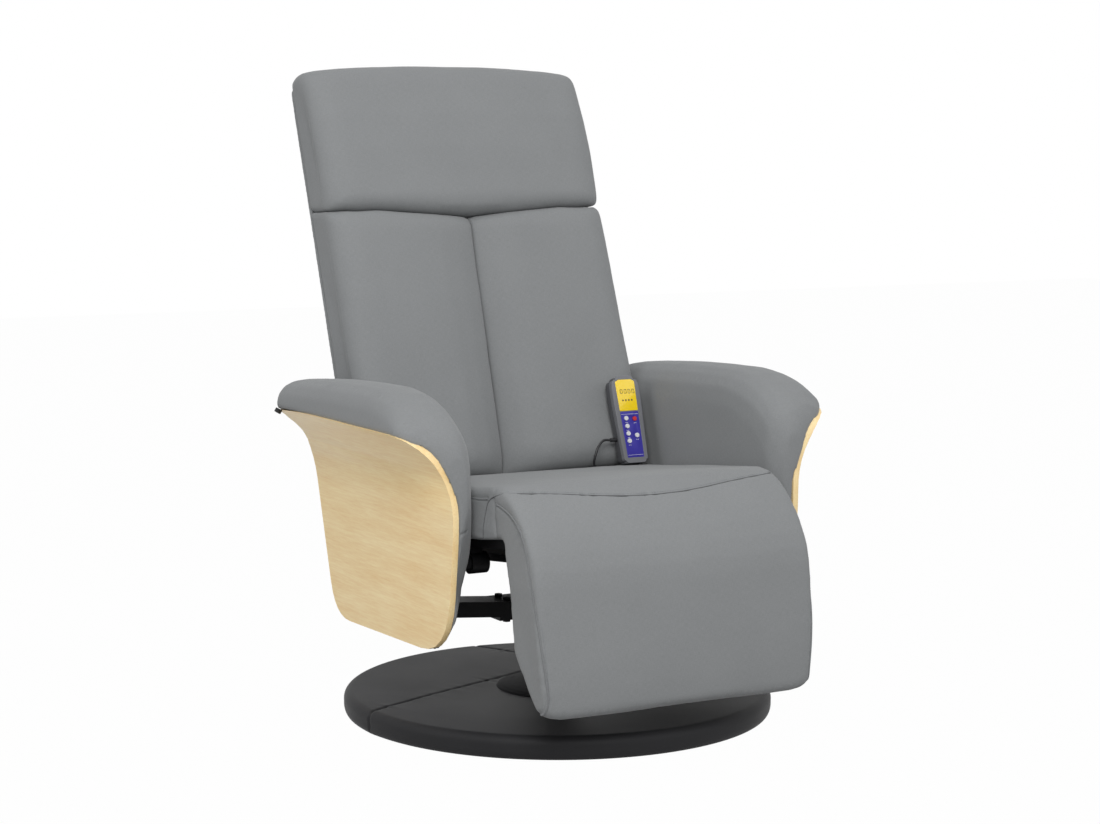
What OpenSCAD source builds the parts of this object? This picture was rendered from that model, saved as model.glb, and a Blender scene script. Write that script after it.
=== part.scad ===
// Swivel massage recliner with bentwood arms, a hinged footrest and a wired hand control.
// Millimetres. The origin is on the floor at the centre of the round base, +Z is up,
// the sitter faces -Y, and +X is on the right of a viewer who stands in front.

/* [Base] */
// Outer radius of the padded base cover
base_r = 363; // [300:1:420]
// Height of the padded base cover above the floor
base_h = 40; // [36:1:60]
// Radius of the rounded top rim of the cover
base_rim_r = 15; // [6:1:20]
// Padding beyond the edge of the base board
base_wall = 15; // [8:1:24]
// Thickness of the non-slip floor pad
floor_pad_t = 3; // [2:0.5:6]
// Thickness of the plywood base board
board_t = 18; // [12:1:24]
// Radius of the steel ballast plate
ballast_r = 260; // [180:5:300]
// Thickness of the ballast plate
ballast_t = 6; // [4:1:10]
// Radius of the welded flange under the post
flange_r = 85; // [70:1:110]
// Thickness of the welded flange
flange_t = 6; // [4:1:10]
// Radius of the bolt circle in the flange
flange_bolt_circle_r = 65; // [50:1:75]
// Outer radius of the post
post_r = 30; // [24:1:38]
// Height of the top of the post above the floor
post_top = 165; // [150:1:172]
// Radius of the collar that hides the flange
collar_r = 104; // [95:1:130]
// Height of the collar above the cover
collar_h = 12; // [6:1:24]

/* [Swivel] */
// Radius of the spindle pin on the post
spindle_r = 12.5; // [8:0.5:16]
// Thickness of the thrust washer
washer_t = 3; // [2:0.5:6]
// Outer radius of the hub
hub_r = 27; // [22:1:34]
// Width of the hub plate from side to side
hub_plate_w = 250; // [200:5:300]
// Thickness of the hub plate
hub_plate_t = 6; // [4:1:10]
// Depth of the crossbar from front to back
bar_d = 60; // [40:1:80]
// Height of the crossbar section
bar_h = 26; // [18:1:34]
// Rise of the crossbar from the hub out to the arms
bar_rise = 14; // [0:1:24]
// Radius of the stub tubes that carry the seat between the arms
tube_r = 11.5; // [9:0.5:13]
// Place of the front stubs, back from the base centre
front_tube_y = -150; // [-170:1:-130]
// Height of the front stubs
front_tube_z = 295; // [290:1:300]
// Place of the rear stubs, back from the base centre
rear_tube_y = 120; // [90:1:140]
// Height of the rear stubs
rear_tube_z = 268; // [262:1:274]

/* [Arms] */
// Distance from the middle to the inner face of an arm
arm_in = 275; // [272:1:290]
// Width of an arm from its inner face to the face of its wood, below the flare
arm_w = 45; // [41:1:55]
// Thickness of the bent plywood
ply_t = 10; // [7:0.5:12]
// Radius of the flare, on the outer face of the plywood
flare_r = 144; // [130:1:160]
// Height at which the plywood starts to bend outwards
flare_z = 385; // [370:1:395]
// Place of the front edge of an arm, back from the base centre
arm_front = -250; // [-262:1:-240]
// Depth of a wood panel from front to back
arm_run = 576; // [540:1:590]
// Height of the lowest edge of an arm
arm_low = 162; // [150:1:166]
// How far a wood panel's top edge stops short of the top of its flare's circle
flare_short = 15; // [11:1:22]
// Height of the top of an arm pad above the top of the wood
pad_over_wood = 62; // [40:1:70]
// Reach of an arm pad's outer lip beyond the face of the wood below the flare
pad_reach = 78; // [74:1:84]
// Thickness of the frame board inside an arm
arm_board_t = 18; // [12:1:20]

/* [Seat] */
// Tilt of the seat, front up
seat_tilt = 6.5; // [4:0.5:8]
// Gap between a side of the seat cushion and an arm
seat_side_gap = 9; // [7:1:25]
// Height of the seat cushion's side above the knee hinge, square to the seat
seat_side_q = 94; // [88:1:97]
// Crown of the seat above its sides
seat_crown = 3; // [1:1:8]
// Distance back from the knee hinge to the front of the seat cushion
seat_front_p = 28; // [24:1:34]
// Distance back from the knee hinge to the rear of the seat cushion
seat_rear_p = 474; // [460:1:476]
// Height of the seat frame's steel section
frame_h = 14; // [10:1:16]
// Width of the seat frame's steel section
frame_w = 22; // [16:1:26]
// Cover of the seat cushion over each side of the seat frame
frame_inset = 22; // [20:1:28]

/* [Footrest] */
// Place of the knee hinge, back from the base centre
knee_y = -290; // [-294:1:-286]
// Height of the knee hinge
knee_z = 340; // [337:1:343]
// Forward lean of the hanging footrest
foot_tilt = 8; // [4:0.5:10]
// Setback of each side of the footrest from the seat cushion's side
foot_inset = 15; // [13:1:36]
// Distance from the knee hinge forward to the face of the footrest's sides
foot_face_u = 94; // [84:1:96]
// Crown of the footrest's face
foot_crown = 6; // [2:1:10]
// Distance from the knee hinge down to the top of the calf cushion
calf_top_v = 62; // [56:1:70]
// Distance from the knee hinge down to the end of the footrest
foot_end_v = 264; // [240:1:280]
// Thickness of the footrest board
foot_board_t = 12; // [9:1:15]
// Cover of the calf cushion over each side of the footrest board
foot_board_inset = 36; // [31:1:46]

/* [Back] */
// Place of the recline hinge, back from the base centre
hip_y = 206; // [204:1:210]
// Height of the recline hinge
hip_z = 315; // [312:1:318]
// Lean of the back at rest
lean = 20; // [17:0.5:22]
// Gap between a side of the back and an arm
back_side_gap = 1; // [1:1:19]
// Distance along the back from the hinge to the head seam
head_seam_s = 532; // [515:1:545]
// Distance along the back from the hinge to its top edge
back_top_s = 820; // [790:1:830]
// Distance from the hinge plane forward to the face of the back cushions
back_face_t = 85; // [78:1:90]
// Distance from the hinge plane back to the rear skin of the back
back_rear_t = 22; // [20:1:26]
// Thickness of the back frame's steel section
rail_t = 20; // [14:1:20]

/* [Mechanism] */
// Recline travel of the back, in degrees
recline_deg = 35; // [20:1:35]
// Swing of the footrest, in degrees
footrest_deg = 70; // [40:1:70]
// Radius from the recline hinge to the pin of its crank
crank_r = 57; // [54:1:60]
// Radius of the hinge pins
hinge_pin_r = 6; // [5:0.5:7]
// Radius of the push rod pins
rod_pin_r = 5; // [4:0.5:6]
// Thickness of a push rod
rod_t = 4; // [3:0.5:5]
// Height of a push rod
rod_h = 12; // [10:1:14]

/* [Massage] */
// Radius of a massage pod
pod_r = 27; // [22:1:30]
// Depth of a massage pod
pod_d = 24; // [20:1:28]
// Wall of a massage pod
pod_wall = 2; // [1.5:0.5:3]
// Radius of the eccentric weight in a pod
weight_r = 17; // [12:1:20]
// Distance of the back's pods from its nearer side
back_pod_inset = 136; // [124:1:154]
// Distance along the back to the lower pods
low_pod_s = 270; // [240:1:300]
// Distance along the back to the upper pods
high_pod_s = 490; // [440:1:495]
// Distance of the seat's pods from its nearer side
seat_pod_inset = 144; // [126:1:166]
// Distance back from the knee hinge to the seat pods
seat_pod_p = 150; // [100:1:180]

/* [Hand control] */
// Width of the hand control at its top
hand_w = 56; // [50:1:60]
// Width of the hand control at its foot
hand_foot_w = 47; // [40:1:50]
// Length of the hand control
hand_l = 158; // [150:1:170]
// Depth of the hand control
hand_d = 24; // [22:1:28]
// Wall of the hand control's shells
hand_wall = 2; // [1.5:0.5:3]
// Radius of a button
button_r = 4; // [3:0.25:4.5]
// How far a button stands proud
button_proud = 1.6; // [1:0.1:2]
// Travel of a button
button_travel = 0.8; // [0.5:0.1:1.2]
// Diameter of the hand control's cord
cord_d = 4.4; // [3:0.1:5]

/* [Hidden] */
$fn = 48;

// Overrun of a cut past the face that it opens
cut = 1;
// Gap between soft pieces and what they lie against
soft_gap = 0.4;
// Running gap of a pin in its bore, on the radius
run_gap = 0.05;
// Gap of a bolt in its hole, on the radius
bolt_gap = 0.3;

// Half widths and distances from the middle: the arms stand about the seat, and each piece
// between them keeps its clearance when their distance changes
arm_out = arm_in + arm_w;
arm_rise = flare_z + flare_r - flare_short - arm_low;
pad_lip = arm_out + pad_reach;
seat_half_w = arm_in - seat_side_gap;
frame_half_w = seat_half_w - frame_inset;
foot_half_w = seat_half_w - foot_inset;
foot_board_half_w = foot_half_w - foot_board_inset;
back_half_w = arm_in - back_side_gap;
back_pod_x = back_half_w - back_pod_inset;
seat_pod_x = seat_half_w - seat_pod_inset;

// Heights that stack up in the base
board_z = floor_pad_t;
ballast_z = board_z + board_t;
flange_z = ballast_z + ballast_t;
base_board_r = base_r - base_wall;
base_lip = 2;
flange_cover_gap = 7;
cover_hole_r = flange_r + flange_cover_gap;
floor_pad_inset = 8;
floor_pad_r = base_board_r - floor_pad_inset;
base_bolt_r = 5;
bolt_head_r = 9;
bolt_head_h = 6;
bolt_count = 4;
collar_wall = 3;

// Swivel stack
hub_z = post_top + washer_t;
bar_z = hub_z + hub_plate_t;
bar_flat = 120;
bar_wall = 3;
bar_end_plate_t = 5;
bar_end_plate_d = 98;
end_bolt_margin = 10;
bar_end_plate_h = 44;
bar_reach = arm_out - ply_t - arm_board_t;
hub_over_bar = 4;
hub_h = bar_h + hub_plate_t + hub_over_bar;
spindle_over_hub = 9;
spindle_h = washer_t + hub_h + spindle_over_hub;
nut_r = 19;
nut_h = 7;
chassis_bolt_r = 4;
chassis_bolt_x = 105;
chassis_head_r = 7;
chassis_head_h = 5;
tube_flange_r = 22;
tube_flange_t = 4;

// Knee, seat and back frames: a point in each is [x, back, up]
function place(y, z, tilt, p) =
    [p.x, y + p.y * cos(tilt) + p.z * sin(tilt), z - p.y * sin(tilt) + p.z * cos(tilt)];
function seat_point(p) = place(knee_y, knee_z, seat_tilt, p);
function foot_point(p) = place(knee_y, knee_z, foot_tilt, p);
function back_point(p) = place(hip_y, hip_z, lean, p);
// Places of a world point in the seat's own frame
function seat_p(y, z) = (y - knee_y) * cos(seat_tilt) - (z - knee_z) * sin(seat_tilt);
function seat_q(y, z) = (y - knee_y) * sin(seat_tilt) + (z - knee_z) * cos(seat_tilt);
frame_q = -2;
cushion_q = frame_q + frame_h;

// Shares of a unit step, and blends between two values
function mix(a, b, f) = a + (b - a) * f;
function bezier(a, b, c, f) = mix(mix(a, b, f), mix(b, c, f), f);
function bezier4(a, b, c, d, f) = mix(bezier(a, b, c, f), bezier(b, c, d, f), f);

// A polygon's corners eased by curves: corners are [point, cut length]
corner_steps = 6;
function toward(a, b, reach) = a + (b - a) * min(reach / norm(b - a), 0.5);
function eased(corners) =
    let (n = len(corners))
    [for (i = [0:n - 1])
        let (p = corners[i][0], c = corners[i][1],
            a = toward(p, corners[(i + n - 1) % n][0], c),
            b = toward(p, corners[(i + 1) % n][0], c))
        for (k = [0:corner_steps]) bezier(a, p, b, k / corner_steps)];

// Closed skin of triangles over equal rings, with a middle point in each end
module skin(rings, first_mid, last_mid, turn = false) {
    n = len(rings[0]);
    m = len(rings);
    points = concat([for (ring = rings, point = ring) point], [first_mid, last_mid]);
    walls = [for (i = [0:m - 2], j = [0:n - 1])
        let (a = i * n + j, b = i * n + (j + 1) % n, c = b + n, d = a + n)
        each [[a, c, b], [a, d, c]]];
    caps = [for (j = [0:n - 1])
        let (k = (j + 1) % n)
        each [[m * n, j, k], [m * n + 1, (m - 1) * n + k, (m - 1) * n + j]]];
    faces = concat(walls, caps);
    polyhedron(points, turn ? [for (f = faces) [f[0], f[2], f[1]]] : faces, convexity = 8);
}

module both_sides() {
    children();
    mirror([1, 0, 0]) children();
}
module at_seat() {
    translate([0, knee_y, knee_z]) rotate([-seat_tilt, 0, 0]) children();
}
module at_foot() {
    translate([0, knee_y, knee_z]) rotate([-foot_tilt, 0, 0]) children();
}
module at_back() {
    translate([0, hip_y, hip_z]) rotate([-lean, 0, 0]) children();
}
// Cylinder along X from x0 to x1
module rod_x(r, x0, x1) {
    translate([x0, 0, 0]) rotate([0, 90, 0]) cylinder(r = r, h = x1 - x0);
}
module disc_ring(r_out, r_in, z0, z1) {
    difference() {
        translate([0, 0, z0]) cylinder(r = r_out, h = z1 - z0, $fn = 96);
        translate([0, 0, z0 - cut]) cylinder(r = r_in, h = z1 - z0 + 2 * cut, $fn = 96);
    }
}
module flange_bolt_places() {
    for (i = [0:bolt_count - 1])
        rotate([0, 0, (i + 0.5) * 360 / bolt_count]) translate([flange_bolt_circle_r, 0, 0]) children();
}

// Base
module floor_pad() {
    color("#202022") cylinder(r = floor_pad_r, h = floor_pad_t, $fn = 96);
}
bolt_depth_share = 0.7;
bolt_depth = board_t * bolt_depth_share;
module base_board() {
    color("#b9925a") difference() {
        translate([0, 0, board_z]) cylinder(r = base_board_r, h = board_t, $fn = 96);
        flange_bolt_places() translate([0, 0, ballast_z - bolt_depth - cut])
            cylinder(r = base_bolt_r + bolt_gap, h = bolt_depth + 2 * cut);
    }
}
module ballast_plate() {
    color("#3c3d40") difference() {
        translate([0, 0, ballast_z]) cylinder(r = ballast_r, h = ballast_t, $fn = 96);
        flange_bolt_places() translate([0, 0, ballast_z - cut])
            cylinder(r = base_bolt_r + bolt_gap, h = ballast_t + 2 * cut);
    }
}
module base_cover() {
    rim = min(base_rim_r, base_h / 2);
    color("#3f3f42") rotate_extrude($fn = 144) polygon(concat(
        [[cover_hole_r, base_h], [cover_hole_r, flange_z + soft_gap],
            [ballast_r + soft_gap, flange_z + soft_gap], [ballast_r + soft_gap, ballast_z + soft_gap],
            [base_board_r + soft_gap, ballast_z + soft_gap], [base_board_r + soft_gap, base_lip],
            [base_r - base_wall / 2, base_lip]],
        [for (a = [0:15:90])
            [base_r - rim * (1 - sin(a)) / 2, base_lip + rim * (1 - cos(a)) / 2]],
        [for (a = [0:10:90])
            [base_r - rim * (1 - cos(a)), base_h - rim * (1 - sin(a))]]));
}
module post_collar() {
    inner = post_r + bolt_gap;
    foot_r = collar_r - collar_wall;
    color("#1c1c1e") rotate_extrude($fn = 96) polygon(concat(
        [[inner, base_h + collar_h], [inner, base_h + collar_h - collar_wall]],
        [for (a = [0:15:90])
            [mix(inner, foot_r, sin(a)), base_h + (collar_h - collar_wall) * cos(a)]],
        [for (a = [90:-15:15])
            [mix(inner, collar_r, sin(a)), base_h + collar_h * cos(a)]]));
}
module spindle_post() {
    color("#26272a") difference() {
        union() {
            translate([0, 0, flange_z]) cylinder(r = flange_r, h = flange_t, $fn = 96);
            translate([0, 0, flange_z]) cylinder(r = post_r, h = post_top - flange_z, $fn = 96);
            translate([0, 0, post_top - cut]) cylinder(r = spindle_r, h = spindle_h + cut, $fn = 96);
        }
        translate([0, 0, flange_z - cut])
            cylinder(r = post_r - flange_t / 2, h = post_top - flange_z - flange_t + cut, $fn = 96);
        flange_bolt_places() translate([0, 0, flange_z - cut])
            cylinder(r = base_bolt_r + bolt_gap, h = flange_t + 2 * cut);
    }
}
module base_bolts() {
    shank = flange_t + ballast_t + bolt_depth - cut;
    color("#8c8d90") flange_bolt_places() {
        translate([0, 0, flange_z + flange_t - shank]) cylinder(r = base_bolt_r, h = shank);
        translate([0, 0, flange_z + flange_t]) cylinder(r = bolt_head_r, h = bolt_head_h, $fn = 6);
    }
}
module thrust_washer() {
    color("#c9a35b") disc_ring(hub_r - 2 * run_gap, spindle_r + run_gap, post_top, post_top + washer_t);
}
module spindle_nut() {
    nut_z = hub_z + hub_h + run_gap;
    color("#8c8d90") difference() {
        translate([0, 0, nut_z]) cylinder(r = nut_r, h = nut_h, $fn = 6);
        translate([0, 0, nut_z - cut]) cylinder(r = spindle_r, h = nut_h + 2 * cut, $fn = 96);
    }
}

// Swivel chassis
module chassis_bolt_places() {
    for (x = [-1, 1], y = [-1, 1])
        translate([x * chassis_bolt_x, y * bar_d / 4, 0]) children();
}
module swivel_hub() {
    color("#232427") difference() {
        union() {
            translate([-hub_plate_w / 2, -bar_d / 2, hub_z]) cube([hub_plate_w, bar_d, hub_plate_t]);
            translate([0, 0, hub_z]) cylinder(r = hub_r, h = hub_h, $fn = 96);
        }
        translate([0, 0, hub_z - cut])
            cylinder(r = spindle_r + run_gap, h = hub_h + 2 * cut, $fn = 96);
        chassis_bolt_places() translate([0, 0, hub_z - cut])
            cylinder(r = chassis_bolt_r + bolt_gap, h = hub_plate_t + 2 * cut);
    }
}
bar_end_x = bar_reach - bar_end_plate_t;
arm_bolt_y = bar_end_plate_d / 2 - end_bolt_margin;
// Front outline of the crossbar: flat over the hub, then up to the arms
bar_outline = [[-bar_end_x, bar_rise], [-bar_flat, 0], [bar_flat, 0], [bar_end_x, bar_rise],
    [bar_end_x, bar_rise + bar_h], [bar_flat, bar_h], [-bar_flat, bar_h], [-bar_end_x, bar_rise + bar_h]];
module crossbar() {
    color("#232427") difference() {
        union() {
            translate([0, bar_d / 2, bar_z]) rotate([90, 0, 0]) linear_extrude(bar_d) polygon(bar_outline);
            both_sides() translate([bar_end_x, -bar_end_plate_d / 2,
                    bar_z + bar_rise + bar_h / 2 - bar_end_plate_h / 2])
                cube([bar_end_plate_t, bar_end_plate_d, bar_end_plate_h]);
        }
        translate([0, 0, bar_z - cut]) cylinder(r = hub_r, h = bar_h + 2 * cut, $fn = 96);
        chassis_bolt_places() translate([0, 0, bar_z - cut])
            cylinder(r = chassis_bolt_r + bolt_gap, h = bar_h + 2 * cut);
        arm_bolt_places(bar_end_x) rod_x(chassis_bolt_r + bolt_gap, -cut, bar_end_plate_t + cut);
    }
}
// Bolts of the crossbar's end plates, at x out from the middle on the right
module arm_bolt_places(x) {
    for (side = [0, 1], y = [-1, 1])
        mirror([side, 0, 0])
            translate([x, y * arm_bolt_y, bar_z + bar_rise + bar_h / 2]) children();
}
module chassis_bolts() {
    under = chassis_head_h + hub_plate_t + bar_h;
    color("#8c8d90") {
        chassis_bolt_places() {
            translate([0, 0, hub_z - chassis_head_h])
                cylinder(r = chassis_head_r, h = chassis_head_h, $fn = 6);
            translate([0, 0, hub_z - cut]) cylinder(r = chassis_bolt_r, h = under - chassis_head_h + cut);
            translate([0, 0, hub_z - chassis_head_h + under])
                cylinder(r = chassis_head_r, h = chassis_head_h, $fn = 6);
        }
        arm_bolt_places(bar_end_x) {
            rod_x(chassis_bolt_r, -cut, bar_end_plate_t + arm_board_t - cut);
            rotate([0, 90, 0]) translate([0, 0, -chassis_head_h])
                cylinder(r = chassis_head_r, h = chassis_head_h, $fn = 6);
        }
    }
}
module tube_places() {
    translate([0, front_tube_y, front_tube_z]) children();
    translate([0, rear_tube_y, rear_tube_z]) children();
}
module seat_stubs() {
    color("#1d1e20") both_sides() tube_places() {
        rod_x(tube_r, frame_half_w - clamp_w, bar_reach);
        rod_x(tube_flange_r, bar_reach - tube_flange_t, bar_reach);
    }
}

// Arms, drawn for the right side and mirrored
// Corners of the wood panel as shares of its depth and height, and the shares that ease them
panel_corner_shares = [[0.043, 0.006], [-0.003, 0.597], [0.021, 1], [0.7, 1], [0.952, 0.972],
    [0.95, 0.93], [0.91, 0.87], [0.938, 0.74], [0.792, -0.022]];
panel_ease_shares = [0.27, 0.11, 0.155, 0.2, 0.015, 0.02, 0.06, 0.12, 0.17];
panel_corners = [for (i = [0:len(panel_corner_shares) - 1])
    [[arm_front + panel_corner_shares[i][0] * arm_run, arm_low + panel_corner_shares[i][1] * arm_rise],
        panel_ease_shares[i] * arm_rise]];
flare_x = arm_out + flare_r;
// Inner face of the plywood at height z, in from a gap
function ply_in_x(z, gap) =
    let (r = flare_r + ply_t + gap)
    z < flare_z ? arm_out - ply_t - gap : flare_x - sqrt(r * r - (z - flare_z) * (z - flare_z));
flare_sweep = asin((arm_low + arm_rise - flare_z) / flare_r);
flare_steps = 10;
// Bent plywood of an arm, or the rebate that it lies in when grown by a gap
module arm_panel(grow = 0) {
    over_sweep = flare_sweep * 1.1;
    inner_r = flare_r + ply_t + grow;
    section = concat(
        [[arm_out - ply_t - grow, arm_low - ply_t], [arm_out + grow, arm_low - ply_t]],
        [for (i = [0:flare_steps])
            [flare_x - (flare_r - grow) * cos(i / flare_steps * over_sweep),
                flare_z + (flare_r - grow) * sin(i / flare_steps * over_sweep)]],
        [for (i = [flare_steps:-1:0])
            [flare_x - inner_r * cos(i / flare_steps * over_sweep),
                flare_z + inner_r * sin(i / flare_steps * over_sweep)]]);
    intersection() {
        translate([0, arm_front + arm_run * 1.1, 0]) rotate([90, 0, 0])
            linear_extrude(arm_run * 1.2) polygon(section);
        translate([arm_out - 2 * ply_t, 0, 0]) rotate([90, 0, 90])
            linear_extrude(flare_r) offset(delta = grow) polygon(eased(panel_corners));
    }
}
// Outline of the board inside an arm, shares of the panel's depth and height
board_corner_shares = [[0.16, 0.06], [0.09, 0.6], [0.16, 0.72], [0.78, 0.72], [0.7, 0.06]];
board_ease_share = 0.1;
module arm_board_outline(grow) {
    offset(delta = grow) polygon(eased([for (c = board_corner_shares)
        [[arm_front + c[0] * arm_run, arm_low + c[1] * arm_rise], board_ease_share * arm_rise]]));
}
module arm_frame() {
    z_bar = bar_z + bar_rise + bar_h / 2;
    difference() {
        translate([bar_reach, 0, 0]) rotate([90, 0, 90]) linear_extrude(arm_board_t)
            arm_board_outline(0);
        for (y = [-1, 1]) translate([bar_reach, y * arm_bolt_y, z_bar])
            rod_x(chassis_bolt_r + bolt_gap, -cut, arm_board_t + cut);
    }
}
// Lower edge of the pad on its wood side and on its inner side: shares of depth and height
pad_out_shares = [[0.002, 0.52], [0.01, 0.41], [0.036, 0.267], [0.055, 0.15], [0.086, 0.097],
    [0.137, 0.043], [0.216, 0.003], [0.7, 0.003], [0.78, 0.03], [0.82, 0.1], [0.86, 0.24],
    [0.89, 0.384], [0.91, 0.525], [0.927, 0.66], [0.94, 0.87], [0.975, 0.93]];
pad_in_shares = [[0.005, 0.68], [0.026, 0.62], [0.043, 0.5], [0.082, 0.378], [0.118, 0.233],
    [0.149, 0.131], [0.194, 0.048], [0.245, 0.003], [0.68, 0.003], [0.76, 0.06], [0.82, 0.2],
    [0.86, 0.34], [0.9, 0.55], [0.93, 0.8], [0.95, 0.98], [0.975, 1.04]];
// Stations along the pad
pad_station_shares = [0.003, 0.012, 0.03, 0.055, 0.09, 0.14, 0.21, 0.3, 0.45, 0.6, 0.72, 0.8,
    0.86, 0.9, 0.93, 0.95, 0.965, 0.973, 0.977];
pad_nose_share = 0.3;
pad_top = arm_low + arm_rise + pad_over_wood;
pad_sag_share = 0.18;
function dome(f) = sqrt(max(0, 1 - f * f));
// A circle's shares pushed out towards a square's
nose_drop_share = 0.31;
rear_drop_share = 0.075;
sag_from_share = 0.92;
sag_run_share = 0.058;
in_low_share = 0.028;
in_lift_share = 0.335;
in_run_share = 0.275;
in_drop_share = 0.17;
in_slope_share = 0.06;
out_run_share = 0.095;
lip_over_share = 0.8;
lip_edge_share = 0.6;
lip_reach_share = 1.6;
lip_under_share = 0.4;
tail_from_share = 0.9;
front_in_share = 0.04;
rear_in_share = 0.95;
rear_in_run_share = 0.025;
rear_in_turn_share = 1.4;
fuller_power_share = 0.78;
function fuller(f) = sign(f) * pow(abs(f), fuller_power_share);
// Height of the pad's top along it: a nose in front, a slow fall and a rounded end
function pad_top_z(s) =
    s < pad_nose_share
        ? pad_top - arm_rise * nose_drop_share * (1 - dome(min(1, (pad_nose_share - s) / pad_nose_share)))
        : pad_top - arm_rise * rear_drop_share * pow((s - pad_nose_share) / (1 - pad_nose_share), 2)
            - (s > sag_from_share
                ? arm_rise * pad_sag_share * (1 - dome((s - sag_from_share) / sag_run_share)) : 0);
// Height at which the inner side starts to roll over
function pad_in_z(s) =
    s < pad_nose_share
        ? flare_z + arm_rise * in_low_share
            + arm_rise * in_lift_share * dome(min(1, (pad_nose_share - s) / in_run_share))
        : pad_top - arm_rise * in_drop_share - arm_rise * in_slope_share * (s - pad_nose_share);
// Height of the lip over the wood's edge
function pad_out_z(s) =
    let (edge = s < out_run_share ? dome((out_run_share - s) / out_run_share) : 1)
    flare_z + (arm_rise + arm_low - flare_z) * edge + ply_t * lip_over_share
        - (s > tail_from_share ? arm_rise * in_slope_share * (s - tail_from_share) / rear_drop_share : 0);
pad_side_steps = 6;
pad_arc_steps = 8;
pad_gap = 0.2;
function pad_ring(s) =
    let (y = arm_front + s * arm_run,
        low_out = arm_low + arm_rise * lookup(s, pad_out_shares),
        low_in = min(arm_low + arm_rise * lookup(s, pad_in_shares), pad_top_z(s) - ply_t),
        lip_z = min(pad_out_z(s), pad_top_z(s) - 2 * ply_t / 5),
        edge_z = lip_z - ply_t * lip_edge_share,
        lip_x = ply_in_x(edge_z, pad_gap),
        out_x = min(pad_lip, lip_x + lip_reach_share * ply_t),
        roll_z = max(min(pad_in_z(s), pad_top_z(s) - ply_t), low_in + soft_gap),
        in_x = arm_in + (s < front_in_share ? (front_in_share - s) / front_in_share * arm_board_t : 0)
            + (s > rear_in_share
                ? (s - rear_in_share) / rear_in_run_share * rear_in_turn_share * arm_board_t : 0),
        foot_out = min(low_out, edge_z - ply_t / 2),
        bend_z = max(flare_z, foot_out + ply_t / 5))
    concat(
        [[ply_in_x(foot_out, pad_gap), y, foot_out]],
        [for (k = [0:pad_side_steps])
            let (z = mix(bend_z, edge_z, k / pad_side_steps)) [ply_in_x(z, pad_gap), y, z]],
        [[out_x, y, lip_z - ply_t * lip_under_share]],
        [for (k = [1:pad_arc_steps])
            let (a = k / pad_arc_steps * 180, side = a < 90 ? lip_z : roll_z,
                mid_x = (out_x + in_x) / 2)
            [mid_x + (out_x - in_x) / 2 * fuller(cos(a)), y, side + (pad_top_z(s) - side) * fuller(sin(a))]],
        [for (k = [1:4]) [in_x, y, mix(roll_z, low_in, k / 4)]]);
function ring_mid(ring) = [for (i = [0:2]) [for (p = ring) 1] * [for (p = ring) p[i]] / len(ring)];
module arm_pad() {
    rings = [for (s = pad_station_shares) pad_ring(s)];
    z_bar = bar_z + bar_rise + bar_h / 2;
    difference() {
        skin(rings, ring_mid(rings[0]) - [0, ply_t / 5, 0],
            ring_mid(rings[len(rings) - 1]) + [0, ply_t / 5, 0], true);
        arm_panel(soft_gap);
        translate([bar_reach - soft_gap, 0, 0]) rotate([90, 0, 90]) linear_extrude(2 * arm_board_t)
            arm_board_outline(soft_gap);
        tube_places() {
            rod_x(tube_r + soft_gap, arm_in - 2 * cut, bar_reach);
            rod_x(tube_flange_r + soft_gap, bar_reach - tube_flange_t - soft_gap, bar_reach);
        }
        translate([arm_in - 2 * cut, -bar_end_plate_d / 2 - soft_gap,
                z_bar - bar_end_plate_h / 2 - soft_gap])
            cube([arm_board_t + ply_t, bar_end_plate_d + 2 * soft_gap, bar_end_plate_h + 2 * soft_gap]);
    }
}
module arm_frame_right() {
    color("#b9925a") arm_frame();
}
module arm_frame_left() {
    color("#b9925a") mirror([1, 0, 0]) arm_frame();
}
module arm_panel_right() {
    color("#dec496") arm_panel();
}
module arm_panel_left() {
    color("#dec496") mirror([1, 0, 0]) arm_panel();
}
module arm_pad_right() {
    color("#8c8f8f") arm_pad();
}
module arm_pad_left() {
    color("#8c8f8f") mirror([1, 0, 0]) arm_pad();
}
buffer_r = 6;
buffer_h = 7;
buffer_share = 0.93;
buffer_turn_share = 0.9;
module flare_buffers() {
    turn = flare_sweep * buffer_turn_share;
    color("#18181a") both_sides()
        translate([flare_x, arm_front + arm_run * buffer_share, flare_z]) rotate([0, turn, 0])
            rod_x(buffer_r, -flare_r + soft_gap, -flare_r + buffer_h);
}

// Seat
hip_p = seat_p(hip_y, hip_z);
hip_q = seat_q(hip_y, hip_z);
rail_front_p = 8;
rear_rail_inset = 12;
rear_rail_p = seat_rear_p - frame_w - rear_rail_inset;
bracket_t = 6;
bracket_r = 14;
clamp_wall = 6;
clamp_r = tube_r + clamp_wall;
clamp_w = 30;
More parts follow.
